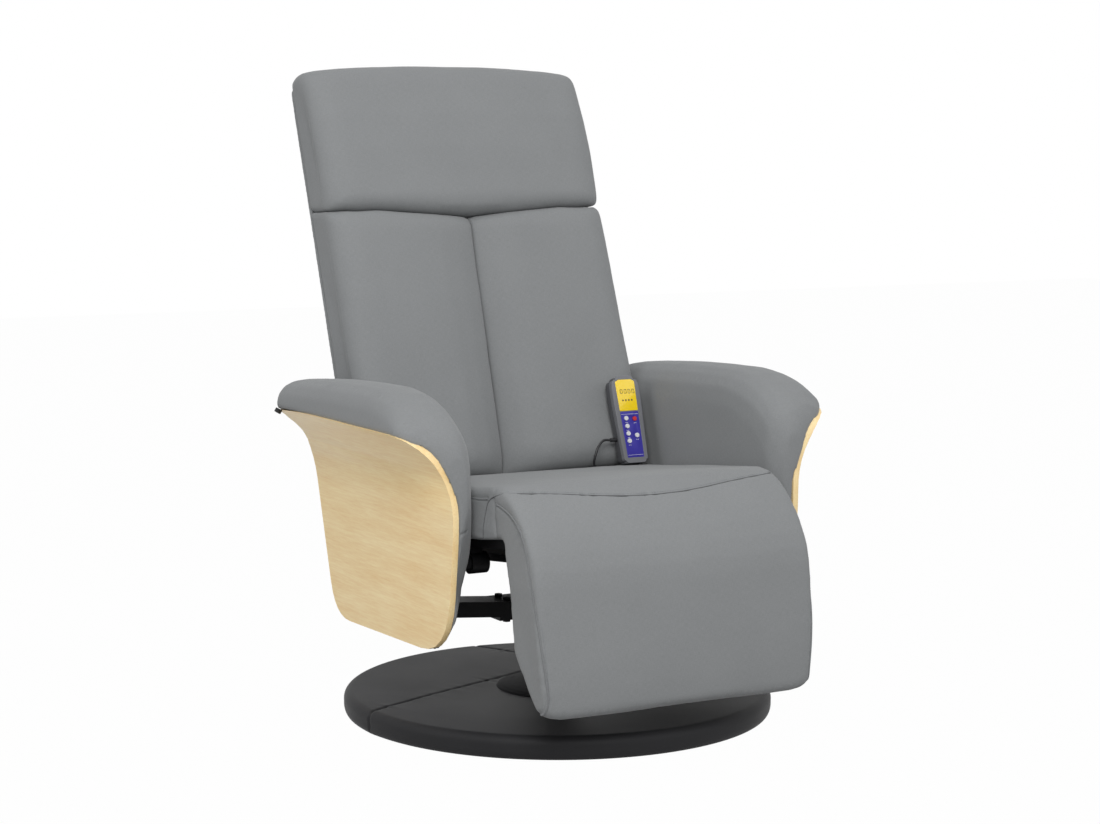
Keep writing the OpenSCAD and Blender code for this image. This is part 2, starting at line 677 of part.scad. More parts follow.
// Half width of a bracket's or crank's arm as a share of the radius of its eye
arm_share = 0.9;
knuckle_r = 7;
knuckle_w = 9;
knuckle_inset = 94;
knuckle_x = frame_half_w - knuckle_inset;
knuckle_gap = 0.5;
webbing_t = 3;
webbing_w = 40;
webbing_count = 5;
module tube_clamp(y, z) {
    both_sides() difference() {
        union() {
            translate([frame_half_w - clamp_w, y, z]) rod_x(clamp_r, 0, clamp_w);
            at_seat() translate([frame_half_w - frame_w, seat_p(y, z) - clamp_r / 2, seat_q(y, z)])
                cube([frame_w - cut, clamp_r, frame_q + cut - seat_q(y, z)]);
        }
        translate([0, y, z]) rod_x(tube_r, 0, arm_in);
    }
}
module seat_frame() {
    color("#1b1b1d") {
        difference() {
            union() {
                at_seat() {
                    both_sides() translate([frame_half_w - frame_w, rail_front_p, frame_q])
                        cube([frame_w, hip_p + bracket_r - rail_front_p, frame_h]);
                    for (p = [rail_front_p, rear_rail_p])
                        translate([-frame_half_w + cut, p, frame_q])
                            cube([2 * frame_half_w - 2 * cut, frame_w, frame_h]);
                    both_sides() {
                        translate([frame_half_w - frame_w, hip_p - arm_share * bracket_r, cushion_q - cut])
                            cube([bracket_t, 2 * arm_share * bracket_r, hip_q - cushion_q + cut]);
                        for (side = [-1, 1]) translate([knuckle_x + side * (knuckle_w + knuckle_gap), 0, 0]) {
                            rod_x(knuckle_r, -knuckle_w / 2, knuckle_w / 2);
                            translate([-knuckle_w / 2, 0, frame_q])
                                cube([knuckle_w, rail_front_p + cut, knuckle_r - frame_q - cut]);
                        }
                    }
                }
                both_sides() translate([0, hip_y, hip_z])
                    rod_x(bracket_r, frame_half_w - frame_w, frame_half_w - frame_w + bracket_t);
            }
            both_sides() {
                translate([0, hip_y, hip_z]) rod_x(hinge_pin_r + run_gap, 0, frame_half_w);
                translate([knuckle_x, knee_y, knee_z])
                    rod_x(hinge_pin_r / 2 + run_gap, -2 * knuckle_w, 2 * knuckle_w);
            }
        }
        tube_clamp(front_tube_y, front_tube_z);
        tube_clamp(rear_tube_y, rear_tube_z);
    }
}
module seat_webbing() {
    inner = frame_half_w - frame_w;
    first = rail_front_p + frame_w;
    pitch = (rear_rail_p - first) / webbing_count;
    color("#2b2b2e") at_seat() for (i = [0:webbing_count - 1])
        translate([-inner, first + (i + 0.5) * pitch - webbing_w / 2, cushion_q - webbing_t - soft_gap])
            cube([2 * inner, webbing_w, webbing_t]);
}
// Stations across a cushion, as shares of its half width
side_station_shares = [-1, -0.985, -0.94, -0.84, -0.66, -0.44, -0.2, 0, 0.2, 0.44,
    0.66, 0.84, 0.94, 0.985, 1];
edge_roll = 9;
side_draw = 6;
seat_back_round = 44;
// How far an edge has rolled in at share f of the half width
function edge_in(f, half_w) =
    let (d = (1 - abs(f)) * half_w) d < edge_roll ? edge_roll * (1 - dome(1 - d / edge_roll)) : 0;
seat_length_steps = 7;
function seat_top_q(f, p) =
    seat_side_q + seat_crown * (1 - f * f)
        - edge_in(f, seat_half_w) * (f * f);
function seat_ring(f) =
    let (x = f * seat_half_w, e = edge_in(f, seat_half_w), low = cushion_q + soft_gap + e / 2,
        rear = seat_rear_p - e / 2, r = seat_back_round)
    concat(
        [[x, rear - e, low], [x, rear, low + edge_roll]],
        [for (k = [0:4])
            [x, rear - r * (1 - cos(k * 22.5)), seat_top_q(f, rear) - r * (1 - sin(k * 22.5))]],
        [for (k = [1:seat_length_steps])
            let (p = mix(rear - r, seat_front_p, k / seat_length_steps)) [x, p, seat_top_q(f, p)]],
        [[x, seat_front_p, low]]);
module pod_pocket(x, p, q) {
    translate([x, p, q - cut]) cylinder(r = pod_r + soft_gap, h = pod_d + soft_gap + cut, $fn = 32);
}
module seat_cushion() {
    mid_q = (cushion_q + seat_side_q) / 2;
    mid_p = (seat_front_p + seat_rear_p) / 2;
    color("#8f9292") at_seat() difference() {
        skin([for (f = side_station_shares) seat_ring(f)],
            [-seat_half_w + side_draw, mid_p, mid_q], [seat_half_w - side_draw, mid_p, mid_q]);
        both_sides() pod_pocket(seat_pod_x, seat_pod_p, cushion_q);
    }
}
dust_t = 1.5;
module dust_cover() {
    color("#151517") at_seat()
        translate([-frame_half_w + frame_w, rail_front_p + 2 * dust_t, frame_q - dust_t])
            cube([2 * (frame_half_w - frame_w), box_p - rail_front_p - 3 * dust_t, dust_t]);
}

// Knee roll, between the seat's front plane and the top of the calf cushion
knee_arc_steps = 8;
knee_pull_share = 0.62;
knee_clear = 18;
function foot_face(f, v) = foot_face_u + foot_crown * (1 - f * f) - edge_in(f, foot_half_w) * (f * f);
function knee_ring(f) =
    let (x = f * foot_half_w, wide = abs(x) > foot_board_half_w + board_side,
        top = seat_side_q + seat_crown * (1 - f * f) - edge_in(f, foot_half_w) * f * f,
        face = foot_face(f, calf_top_v),
        a = seat_point([x, seat_front_p - soft_gap, top]),
        b = seat_point([x, seat_front_p - knee_pull_share * face, top]),
        c = foot_point([x, -face, -calf_top_v + knee_pull_share * top]),
        d = foot_point([x, -face, -calf_top_v + soft_gap]),
        under = wide
            ? [foot_point([x, foot_rear_u, -calf_top_v + soft_gap]),
                foot_point([x, foot_rear_u + frame_h / 2, -knee_clear]),
                seat_point([x, rail_front_p - 2 * soft_gap, frame_q]),
                seat_point([x, rail_front_p - 2 * soft_gap, cushion_q + soft_gap])]
            : [foot_point([x, -foot_board_t - 2 * soft_gap - foot_board_u, -calf_top_v + soft_gap]),
                foot_point([x, -foot_board_t - foot_board_u - knee_clear / 4, -knee_clear / 2]),
                seat_point([x, -knee_clear, knee_clear / 2]),
                seat_point([x, rail_front_p - knee_clear, cushion_q + knee_clear / 4])])
    concat(
        [seat_point([x, seat_front_p - soft_gap, cushion_q + soft_gap]), a],
        [for (k = [1:knee_arc_steps - 1]) bezier4(a, b, c, d, k / knee_arc_steps)],
        [d], under);
// Stations at the board's edge: one that stays in front of it and one that passes beside it
board_side = 2;
board_share = (foot_board_half_w + board_side - soft_gap) / foot_half_w;
beside_share = (foot_board_half_w + 2 * board_side) / foot_half_w;
half_knee_shares = [0.4, 0.66, board_share, beside_share, 0.94, 0.985, 1];
knee_station_shares = concat([for (i = [6:-1:0]) -half_knee_shares[i]], [0], half_knee_shares);
module knee_roll() {
    mid = place(knee_y, knee_z, 0, [0, -foot_face_u * 0.45, seat_side_q * 0.4]);
    color("#8f9292") skin([for (f = knee_station_shares) knee_ring(f)],
        mid - [foot_half_w - side_draw, 0, 0], mid + [foot_half_w - side_draw, 0, 0]);
}

// Footrest
foot_board_u = 2;
foot_rear_u = 1;
foot_board_top_v = 18;
foot_board_end_v = 160;
foot_taper_v = 130;
foot_taper = 9;
foot_tip_u = 52;
foot_tip_round = 13;
calf_steps = 6;
module footrest_board() {
    color("#b9925a") at_foot()
        translate([-foot_board_half_w, -foot_board_u - foot_board_t, -foot_board_end_v])
        cube([2 * foot_board_half_w, foot_board_t, foot_board_end_v - foot_board_top_v]);
}
// How far the sides have drawn in at share f of the half width and v down from the hinge
function foot_draw(f, v) =
    f * pow(max(0, v - foot_taper_v) / (foot_end_v - foot_taper_v), 1.5) * foot_taper;
// Side section of the footrest at share f of the half width
function calf_ring(f) = [for (p = calf_section(f)) p - [foot_draw(f, -p.z), 0, 0]];
function calf_section(f) =
    let (x = f * foot_half_w, wide = abs(x) > foot_board_half_w + board_side,
        e = edge_in(f, foot_half_w),
        corner = e + pow(max(0, abs(f) - 0.8) / 0.2, 3) * edge_roll,
        back = wide ? foot_rear_u - e / 3 : -foot_board_u - foot_board_t - soft_gap,
        rear = foot_rear_u - e / 3, face = foot_face(f, calf_top_v), end_v = foot_end_v - corner,
        tip_face = face - foot_tip_round)
    concat(
        [[x, back, -foot_board_end_v - soft_gap], [x, back, -calf_top_v]],
        [for (k = [0:calf_steps])
            let (v = mix(calf_top_v, end_v - foot_tip_round, k / calf_steps))
            [x, -face + foot_tip_round * 0.9 * pow(k / calf_steps, 3), -v]],
        [for (k = [1:4])
            [x, -tip_face + foot_tip_round * (1 - cos(k * 22.5)) * 1.2,
                -end_v + foot_tip_round * (1 - sin(k * 22.5))]],
        [[x, -foot_tip_u, -end_v + foot_tip_round / 6],
            [x, rear - (foot_tip_u - foot_rear_u) * 0.6, -mix(foot_board_end_v, end_v, 0.66)],
            [x, rear, -foot_board_end_v - 2 * soft_gap]]);
module calf_cushion() {
    mid = [0, -foot_face_u / 2, -(calf_top_v + foot_end_v) / 2];
    color("#8f9292") at_foot() skin([for (f = knee_station_shares) calf_ring(f)],
        mid - [foot_half_w - side_draw, 0, 0], mid + [foot_half_w - side_draw, 0, 0]);
}

// Push rod geometry: both cranks swing evenly about straight down
foot_crank_r = crank_r * sin(recline_deg / 2) / sin(footrest_deg / 2);
rear_pin = [hip_y + crank_r * sin(recline_deg / 2), hip_z - crank_r * cos(recline_deg / 2)];
front_pin = [knee_y + foot_crank_r * sin(footrest_deg / 2),
    knee_z - foot_crank_r * cos(footrest_deg / 2)];
crank_t = 6;
crank_w = 18;
crank_inset = 0.5;
plate_gap = 1;
crank_out_x = frame_half_w - frame_w - 2.5 * plate_gap;
crank_in_x = crank_out_x - crank_t;
rod_x0 = crank_in_x - 4.5 * plate_gap - rod_t;
lug_t = 4.5;
lug_x0 = rod_x0 - 1.5 * plate_gap - lug_t;
lug_r = 11;
rod_eye_r = 12;
slot_drop = 3.4;
slot_gap = 1.1;
pin_head = 3;

module footrest_hinges() {
    leaf_t = 3;
    leaf_l = 60;
    plate_w = 30;
    lug_back = (front_pin[0] - knee_y) * cos(foot_tilt) - (front_pin[1] - knee_z) * sin(foot_tilt);
    lug_up = (front_pin[0] - knee_y) * sin(foot_tilt) + (front_pin[1] - knee_z) * cos(foot_tilt);
    color("#232427") both_sides() {
        difference() {
            at_foot() union() {
                translate([knuckle_x, 0, 0]) rod_x(knuckle_r, -knuckle_w / 2, knuckle_w / 2);
                translate([knuckle_x - knuckle_w / 2, -foot_board_u, -leaf_l])
                    cube([knuckle_w, leaf_t, leaf_l]);
                translate([knuckle_x - plate_w / 2, -foot_board_u, -leaf_l])
                    cube([plate_w, leaf_t, leaf_l - foot_board_top_v - knuckle_r]);
            }
            translate([knuckle_x, knee_y, knee_z])
                rod_x(hinge_pin_r / 2 + run_gap, -knuckle_w, knuckle_w);
        }
        at_foot() {
            translate([lug_x0 + lug_t - plate_w, -foot_board_u, lug_up - lug_r])
                cube([plate_w, leaf_t, 2 * lug_r]);
            translate([lug_x0, -foot_board_u, lug_up - lug_r])
                cube([lug_t, lug_back + foot_board_u, 2 * lug_r]);
            translate([lug_x0, lug_back, lug_up]) rod_x(lug_r, 0, lug_t);
            translate([0, lug_back, lug_up])
                rod_x(rod_pin_r, lug_x0 + cut, rod_x0 + rod_t + plate_gap + pin_head);
            translate([0, lug_back, lug_up])
                rod_x(rod_pin_r + slot_gap * 2, rod_x0 + rod_t + plate_gap,
                    rod_x0 + rod_t + plate_gap + pin_head);
        }
    }
}
module push_rod() {
    run = rear_pin - front_pin;
    difference() {
        union() {
            translate([rod_x0, rear_pin[0], rear_pin[1]]) {
                rotate([atan2(run[1], run[0]), 0, 0])
                    translate([0, -norm(run), -rod_h / 2]) cube([rod_t, norm(run), rod_h]);
                rod_x(rod_eye_r, 0, rod_t);
            }
            translate([rod_x0, front_pin[0], front_pin[1] - slot_drop / 2])
                rod_x(rod_eye_r + slot_drop / 2, 0, rod_t);
        }
        translate([rod_x0, rear_pin[0], rear_pin[1]]) rod_x(rod_pin_r + run_gap, -cut, rod_t + cut);
        translate([rod_x0, front_pin[0], front_pin[1]]) {
            rod_x(rod_pin_r + slot_gap, -cut, rod_t + cut);
            translate([0, 0, -slot_drop]) rod_x(rod_pin_r + slot_gap, -cut, rod_t + cut);
            translate([-cut, -rod_pin_r - slot_gap, -slot_drop])
                cube([rod_t + 2 * cut, 2 * (rod_pin_r + slot_gap), slot_drop]);
        }
    }
}
module push_rod_right() {
    color("#2a2b2e") push_rod();
}
module push_rod_left() {
    color("#2a2b2e") mirror([1, 0, 0]) push_rod();
}
module rod_pins() {
    color("#8c8d90") both_sides() translate([0, rear_pin[0], rear_pin[1]]) {
        rod_x(rod_pin_r, rod_x0 - plate_gap, crank_out_x + plate_gap);
        rod_x(rod_pin_r + pin_head, rod_x0 + rod_t + plate_gap, crank_in_x);
        rod_x(rod_pin_r + pin_head, rod_x0 - plate_gap - pin_head, rod_x0 - plate_gap);
    }
}
module hinge_pins() {
    plate_out = frame_half_w - frame_w + bracket_t;
    color("#8c8d90") both_sides() {
        translate([0, hip_y, hip_z]) {
            rod_x(hinge_pin_r, rail_in_x + plate_gap, plate_out);
            rod_x(hinge_pin_r + pin_head, plate_out, plate_out + pin_head);
        }
        translate([knuckle_x, knee_y, knee_z])
            rod_x(hinge_pin_r / 2, -1.5 * knuckle_w - knuckle_gap, 1.5 * knuckle_w + knuckle_gap);
    }
}

// Back
rail_w = 24;
rail_in_x = crank_out_x - rail_w;
rail_front_t = 8;
rail_rear_t = rail_t - rail_front_t;
rail_top_s = 765;
cross_rail_h = 24;
low_rail_s = 24;
panel_gap = soft_gap;
back_bottom_s = 50;
module back_frame() {
    color("#26272a") difference() {
        union() {
            at_back() {
                both_sides() {
                    translate([rail_in_x, -rail_front_t, 0]) cube([rail_w, rail_t, rail_top_s]);
                    rod_x(bracket_r, rail_in_x, crank_out_x);
                }
                for (s = [low_rail_s, low_pod_s - cross_rail_h / 2, high_pod_s - cross_rail_h / 2,
                        rail_top_s - cross_rail_h])
                    translate([-rail_in_x - cut, -rail_front_t, s])
                        cube([2 * rail_in_x + 2 * cut, rail_t, cross_rail_h]);
            }
            both_sides() {
                translate([crank_in_x + crank_inset, hip_y, hip_z]) rotate([recline_deg / 2, 0, 0])
                    translate([0, -arm_share * crank_w / 2, -crank_r])
                    cube([crank_t - 2 * crank_inset, arm_share * crank_w, crank_r]);
                translate([0, rear_pin[0], rear_pin[1]]) rod_x(crank_w / 2, crank_in_x, crank_out_x);
            }
        }
        both_sides() {
            translate([0, hip_y, hip_z]) rod_x(hinge_pin_r + run_gap, rail_in_x - cut, crank_out_x + cut);
            translate([0, rear_pin[0], rear_pin[1]])
                rod_x(rod_pin_r + run_gap, crank_in_x - cut, crank_out_x + cut);
        }
    }
}
panel_low_s = 10;
panel_margin = 2;
panel_corner = 30;
module rear_panel() {
    w = back_half_w - panel_margin;
    top = back_top_s - panel_margin;
    outline = [[[-w, panel_low_s], panel_corner / 2], [[w, panel_low_s], panel_corner / 2],
        [[w, top - top_fall], panel_corner], [[0, top], w], [[-w, top - top_fall], panel_corner]];
    color("#85888a") at_back() translate([0, back_rear_t, 0]) rotate([90, 0, 0])
        linear_extrude(back_rear_t - rail_rear_t - panel_gap) polygon(eased(outline));
}
top_fall = 14;
// Stations at the rail's edge: one that stays in front of it and one that passes beside it
rail_side = 2;
rail_share = (crank_out_x + soft_gap) / back_half_w;
past_rail_share = (crank_out_x + rail_side + soft_gap) / back_half_w;
cushion_station_shares = concat([0.001, 0.015, 0.05, 0.13, 0.27, 0.45, 0.62, 0.74],
    [rail_share, past_rail_share, 0.9, 0.955, 0.985, 1]);
seam_low_depth = 36;
seam_high_depth = 66;
side_low_depth = 96;
side_high_depth = 78;
back_steps = 8;
bottom_round = 42;
seam_round = 24;
// Depth of a lower back cushion's face at share g of the half width
function cushion_depth(g, s) =
    let (edge = g < 0.5
            ? mix(seam_low_depth, seam_high_depth, (s - back_bottom_s) / (head_seam_s - back_bottom_s))
            : mix(side_low_depth, side_high_depth, (s - back_bottom_s) / (head_seam_s - back_bottom_s)),
        swell = 1 - pow(abs(2 * g - 1), 3))
    edge + (back_face_t - edge) * swell - edge_in(g, back_half_w) * (g > 0.5 ? 1 : 0);
function back_cushion_ring(g) =
    let (x = g * back_half_w, wide = x > crank_out_x + rail_side,
        back = wide ? rail_rear_t - edge_in(g, back_half_w) / 2 : -rail_front_t - soft_gap,
        low = back_bottom_s + soft_gap, high = head_seam_s - soft_gap,
        r = bottom_round, rs = seam_round)
    concat(
        [[x, back, low], [x, back, high]],
        [for (k = [0:3]) let (d = cushion_depth(g, high))
            [x, -d + rs * (1 - sin(k * 30)), high - rs * (1 - cos(k * 30)) * 0.8]],
        [for (k = [1:back_steps])
            let (s = mix(high - rs * 0.8, low + r, k / back_steps)) [x, -cushion_depth(g, s), s]],
        [for (k = [1:4]) let (d = cushion_depth(g, low))
            [x, -d + min(r, d / 2) * (1 - cos(k * 22.5)), low + r * (1 - sin(k * 22.5))]]);
module pod_hole(s) {
    translate([back_pod_x, -rail_front_t + cut, s]) rotate([90, 0, 0])
        cylinder(r = pod_r + soft_gap, h = pod_d + soft_gap + cut, $fn = 32);
}
module back_cushion() {
    mid_s = (back_bottom_s + head_seam_s) / 2;
    at_back() difference() {
        skin([for (g = cushion_station_shares) back_cushion_ring(g)],
            [soft_gap, -side_high_depth / 3, mid_s], [back_half_w - side_draw, -side_high_depth / 2, mid_s]);
        pod_hole(low_pod_s);
        pod_hole(high_pod_s);
    }
}
module back_cushion_right() {
    color("#8c8f8f") back_cushion();
}
module back_cushion_left() {
    color("#8c8f8f") mirror([1, 0, 0]) back_cushion();
}
// Depth of the head cushion's face as shares of the back's face, against shares of its height
head_depth_shares = [[0, 0.95], [0.15, 1.01], [0.4, 1.01], [0.62, 0.96], [0.85, 0.83], [1, 0.74]];
half_head_shares = [0.3, 0.6, rail_share, past_rail_share, 0.94, 0.985, 1];
head_station_shares = concat([for (i = [6:-1:0]) -half_head_shares[i]], [0], half_head_shares);
head_steps = 7;
function head_ring(f) =
    let (x = f * back_half_w, e = edge_in(f, back_half_w), wide = abs(x) > crank_out_x + rail_side,
        top = back_top_s - top_fall * pow(abs(f), 2.5) - e,
        back = wide ? rail_rear_t - e / 2 : -rail_front_t - soft_gap,
        low = head_seam_s + soft_gap, rs = seam_round,
        front_top = mix(low, top, 0.85),
        depth = [for (k = [0:head_steps])
            let (s = mix(low + rs * 0.8, front_top, k / head_steps))
            back_face_t * lookup((s - low) / (top - low), head_depth_shares)
                * (1 - 0.06 * pow(abs(f), 3)) - e],
        last = depth[head_steps])
    concat(
        [[x, back, low], [x, back, rail_top_s + soft_gap], [x, rail_rear_t - e / 2, rail_top_s + soft_gap],
            [x, rail_rear_t - e / 2, top - edge_roll / 2]],
        [for (k = [1:5]) bezier([x, rail_rear_t - e / 2, top - edge_roll / 2],
            [x, -last * 0.9, top + edge_roll],
            [x, -last, front_top], k / 6)],
        [for (k = [head_steps:-1:0])
            [x, -depth[k], mix(low + rs * 0.8, front_top, k / head_steps)]],
        [for (k = [1:3])
            [x, -depth[0] + rs * (1 - cos(k * 30)), low + rs * 0.8 * (1 - sin(k * 30))]]);
module head_cushion() {
    mid_s = (head_seam_s + back_top_s) / 2;
    color("#8c8f8f") at_back() skin([for (f = head_station_shares) head_ring(f)],
        [-back_half_w + side_draw, -side_high_depth / 2, mid_s],
            [back_half_w - side_draw, -side_high_depth / 2, mid_s]);
}

// Massage pods: a drum with a fixed shaft along its axis, and a weight that turns on it
shaft_r = 1.5;
wire_r = 2;
module pod() {
    color("#303136") {
        difference() {
            cylinder(r = pod_r, h = pod_d);
            translate([0, 0, pod_wall]) cylinder(r = pod_r - pod_wall, h = pod_d - 2 * pod_wall);
            translate([0, 0, pod_d / 2]) rotate([90, 0, 0]) cylinder(r = wire_r, h = pod_r + cut);
        }
        translate([0, 0, pod_wall / 2]) cylinder(r = shaft_r, h = pod_d - pod_wall);
    }
}
shaft_gap = 2;
module weight() {
    z0 = pod_wall + shaft_gap;
    h = pod_d - 2 * z0;
    hub = 3 * shaft_r;
    color("#b5a16a") difference() {
        union() {
            difference() {
                translate([0, 0, z0]) cylinder(r = weight_r, h = h);
                translate([-weight_r - cut, 0, z0 - cut])
                    cube([2 * (weight_r + cut), weight_r + cut, h + 2 * cut]);
            }
            translate([0, 0, z0]) cylinder(r = hub, h = h);
        }
        translate([0, 0, z0 - cut]) cylinder(r = shaft_r + run_gap, h = h + 2 * cut);
    }
}
module at_seat_pod(side) {
    at_seat() translate([side * seat_pod_x, seat_pod_p, cushion_q]) children();
}
module at_back_pod(side, s) {
    at_back() translate([side * back_pod_x, -rail_front_t, s]) rotate([90, 0, 0]) children();
}
module seat_massage_pods() {
    for (side = [-1, 1]) at_seat_pod(side) pod();
}
module back_massage_pods() {
    for (side = [-1, 1], s = [low_pod_s, high_pod_s]) at_back_pod(side, s) pod();
}
module seat_weight_left() {
    at_seat_pod(-1) weight();
}
module seat_weight_right() {
    at_seat_pod(1) weight();
}
module low_weight_left() {
    at_back_pod(-1, low_pod_s) weight();
}
module low_weight_right() {
    at_back_pod(1, low_pod_s) weight();
}
module high_weight_left() {
    at_back_pod(-1, high_pod_s) weight();
}
module high_weight_right() {
    at_back_pod(1, high_pod_s) weight();
}

// Control box under the rear rail, with its low-voltage inlet at the back
box_half_w = 75;
box_d = 50;
box_h = 43;
box_wall = 2.5;
box_p = rear_rail_p + frame_w - box_d / 2;
gland_r = 5;
gland_l = 14;
inlet_r = 2.8;
inlet_depth = 9;
inlet_body_r = 5.5;
inlet_body_l = 14;
inlet_flange_r = 8;
inlet_flange_t = 2;
module control_box() {
    color("#1f1f22") at_seat() translate([0, box_p, frame_q - run_gap]) difference() {
        union() {
            translate([-box_half_w, 0, -box_h]) cube([2 * box_half_w, box_d, box_h]);
            translate([0, box_d / 2, -box_h / 2]) rod_x(gland_r, box_half_w - cut, box_half_w + gland_l);
        }
        translate([-box_half_w + box_wall, box_wall, -box_h + box_wall])
            cube([2 * (box_half_w - box_wall), box_d - 2 * box_wall, box_h - 2 * box_wall]);
        translate([0, box_d - box_wall - cut, -box_h / 2]) rotate([-90, 0, 0])
            cylinder(r = inlet_body_r + run_gap, h = box_wall + 2 * cut);
    }
}
module power_inlet() {
    color("#0f0f10") at_seat()
        translate([0, box_p + box_d, frame_q - run_gap - box_h / 2]) rotate([90, 0, 0])
        difference() {
            union() {
                cylinder(r = inlet_body_r, h = inlet_body_l);
                translate([0, 0, -inlet_flange_t]) cylinder(r = inlet_flange_r, h = inlet_flange_t);
            }
            translate([0, 0, -inlet_flange_t - cut]) cylinder(r = inlet_r, h = inlet_depth + cut);
        }
}

// Hand control: it stands on the seat and leans towards the back
hand_lean = 18;
hand_inset = 45;
hand_x = seat_half_w - hand_inset;
hand_y = 109;
hand_seat_q = seat_top_q(hand_x / seat_half_w, 0);
hand_rear_y = hand_y + hand_d * cos(hand_lean);
hand_z = knee_z + (hand_seat_q - (hand_rear_y - knee_y) * sin(seat_tilt)) / cos(seat_tilt)
    + hand_d * sin(hand_lean) + soft_gap;
split_d = 10;
screen_low_share = 0.595;
screen_high_share = 0.955;
pad_low_share = 0.06;
bezel = 8;
sheet_t = 1;
key_gap = 0.2;
key_flange = 1;
board_d = 8.4;
board_sheet = 1.6;
function hand_outline(inset) =
    let (w = hand_w / 2 - inset, f = hand_foot_w / 2 - inset, top = hand_l - inset)
    eased([[[-f, inset], bezel], [[f, inset], bezel], [[w, hand_l * 0.7], hand_l / 8],
        [[w * 0.96, top], hand_w * 0.36], [[-w * 0.96, top], hand_w * 0.36],
        [[-w, hand_l * 0.7], hand_l / 8]]);
module at_hand() {
    translate([hand_x, hand_y, hand_z]) rotate([-hand_lean, 0, 0]) children();
}
// Plate of an outline between two depths behind the front face
module hand_slab(outline, d0, d1) {
    translate([0, d1, 0]) rotate([90, 0, 0]) linear_extrude(d1 - d0) polygon(outline);
}
function window_outline(low, high, inset, round) =
    let (w = hand_w / 2 - bezel - inset, f = hand_foot_w / 2 - bezel + 1 - inset)
    eased([[[-mix(f, w, low), hand_l * low + inset], round], [[mix(f, w, low), hand_l * low + inset], round],
        [[mix(f, w, high), hand_l * high - inset], round * 2.5],
        [[-mix(f, w, high), hand_l * high - inset], round * 2.5]]);
// Places of the keys: share of the half width, share of the length
key_shares = [[0.36, 0.5], [-0.36, 0.51], [-0.36, 0.42], [-0.36, 0.335], [-0.36, 0.25], [0.36, 0.31]];
function key_place(i) = [key_shares[i][0] * hand_foot_w / 2, 0, key_shares[i][1] * hand_l];
module key_holes(grow) {
    for (i = [0:len(key_shares) - 1])
        translate(key_place(i)) translate([0, -cut, 0]) rotate([-90, 0, 0])
            cylinder(r = button_r + grow, h = hand_wall + 2 * cut);
}
module handset_front() {
    color("#7a7c80") at_hand() difference() {
        hand_slab(hand_outline(0), 0, split_d);
        hand_slab(hand_outline(hand_wall), hand_wall, split_d + cut);
        hand_slab(window_outline(screen_low_share, screen_high_share, 0, 2), -cut, sheet_t);
        hand_slab(window_outline(pad_low_share, screen_low_share - 0.01, 0, 1), -cut, sheet_t);
        key_holes(key_gap);
    }
}
relief_r = 3.6;
relief_l = 16;
relief_z = 46;
relief_x = hand_foot_w / 2 - hand_wall;
module handset_back() {
    color("#3a3b3f") at_hand() difference() {
        hand_slab(hand_outline(0), split_d, hand_d);
        hand_slab(hand_outline(hand_wall), split_d - cut, hand_d - hand_wall);
        translate([0, (split_d + hand_d) / 2, relief_z]) rod_x(relief_r, -hand_w, -relief_x + 2 * hand_wall);
    }
}
module screen_window() {
    color("#f7d400") at_hand()
        hand_slab(window_outline(screen_low_share, screen_high_share, run_gap, 2), 0, sheet_t);
}
module keypad_overlay() {
    color("#33289b") at_hand() difference() {
        hand_slab(window_outline(pad_low_share, screen_low_share - 0.01, run_gap, 1), 0, sheet_t);
        key_holes(key_gap);
    }
}
module circuit_board() {
    color("#1f6b3a") at_hand() hand_slab(hand_outline(hand_wall + key_gap), board_d, board_d + board_sheet);
}
module strain_relief() {
    color("#161618") at_hand() translate([0, (split_d + hand_d) / 2, relief_z])
        rod_x(relief_r - run_gap, -relief_x - relief_l, -relief_x + hand_wall);
}
module key(i) {
    at_hand() translate(key_place(i)) rotate([-90, 0, 0]) {
        translate([0, 0, -button_proud]) cylinder(r = button_r, h = button_proud + board_d - 2 * cut);
        translate([0, 0, hand_wall + run_gap]) cylinder(r = button_r + key_flange, h = sheet_t);
    }
}
module power_button() {
    color("#cf3f4c") key(0);
}
module program_button() {
    color("#f1f1f1") key(1);
}
module back_button() {
    color("#f1f1f1") key(2);
}
module seat_button() {
    color("#f1f1f1") key(3);
}
module speed_button() {
    color("#f1f1f1") key(4);
}
module timer_button() {
    color("#f1f1f1") key(5);
}

// Cord of the hand control: out of its side, over the rear of the seat, down behind the
// cushion, and forward under the seat to the gland of the control box
relief_end = place(hand_y, hand_z, hand_lean, [-relief_x - relief_l, (split_d + hand_d) / 2, relief_z])
    + [hand_x, 0, 0];
gland_end = seat_point([box_half_w + gland_l, box_p + box_d / 2, frame_q - run_gap - box_h / 2]);
cord_route = concat([relief_end, relief_end - [14, 0, 0]],
    [[156, 134, 424], [149, 132, 409], [148, 135, 397], [153, 143, 391], [161, 154, 388],
        [169, 164, 384], [175, 171, 380.5], [180, 178, 375], [183, 185, 367.5], [184, 190.5, 356],
        [184, 193.5, 340], [184, 194, 316], [182.5, 194, 292], [176, 190, 273], [160, 181, 263],
        [140, 173, 260.5], [121, 168, 262]],
    [gland_end + [14, 0, 0], gland_end]);
cord_sides = 8;
cord_steps = 3;
function unit(v) = v / norm(v);
// Point on the smooth curve through the route, share f of the way from point i to the next
function through(p, i, f) =
    let (n = len(p), a = p[max(i - 1, 0)], b = p[i], c = p[i + 1], d = p[min(i + 2, n - 1)])
    0.5 * (2 * b + (c - a) * f + (2 * a - 5 * b + 4 * c - d) * f * f
        + (3 * b - a - 3 * c + d) * f * f * f);
cord_points = concat(
    [for (i = [0:len(cord_route) - 2], k = [0:cord_steps - 1]) through(cord_route, i, k / cord_steps)],
    [cord_route[len(cord_route) - 1]]);
function cord_heading(i) =
    i == 0 || i == len(cord_points) - 1 ? [-1, 0, 0]
        : unit(cord_points[i + 1] - cord_points[i - 1]);
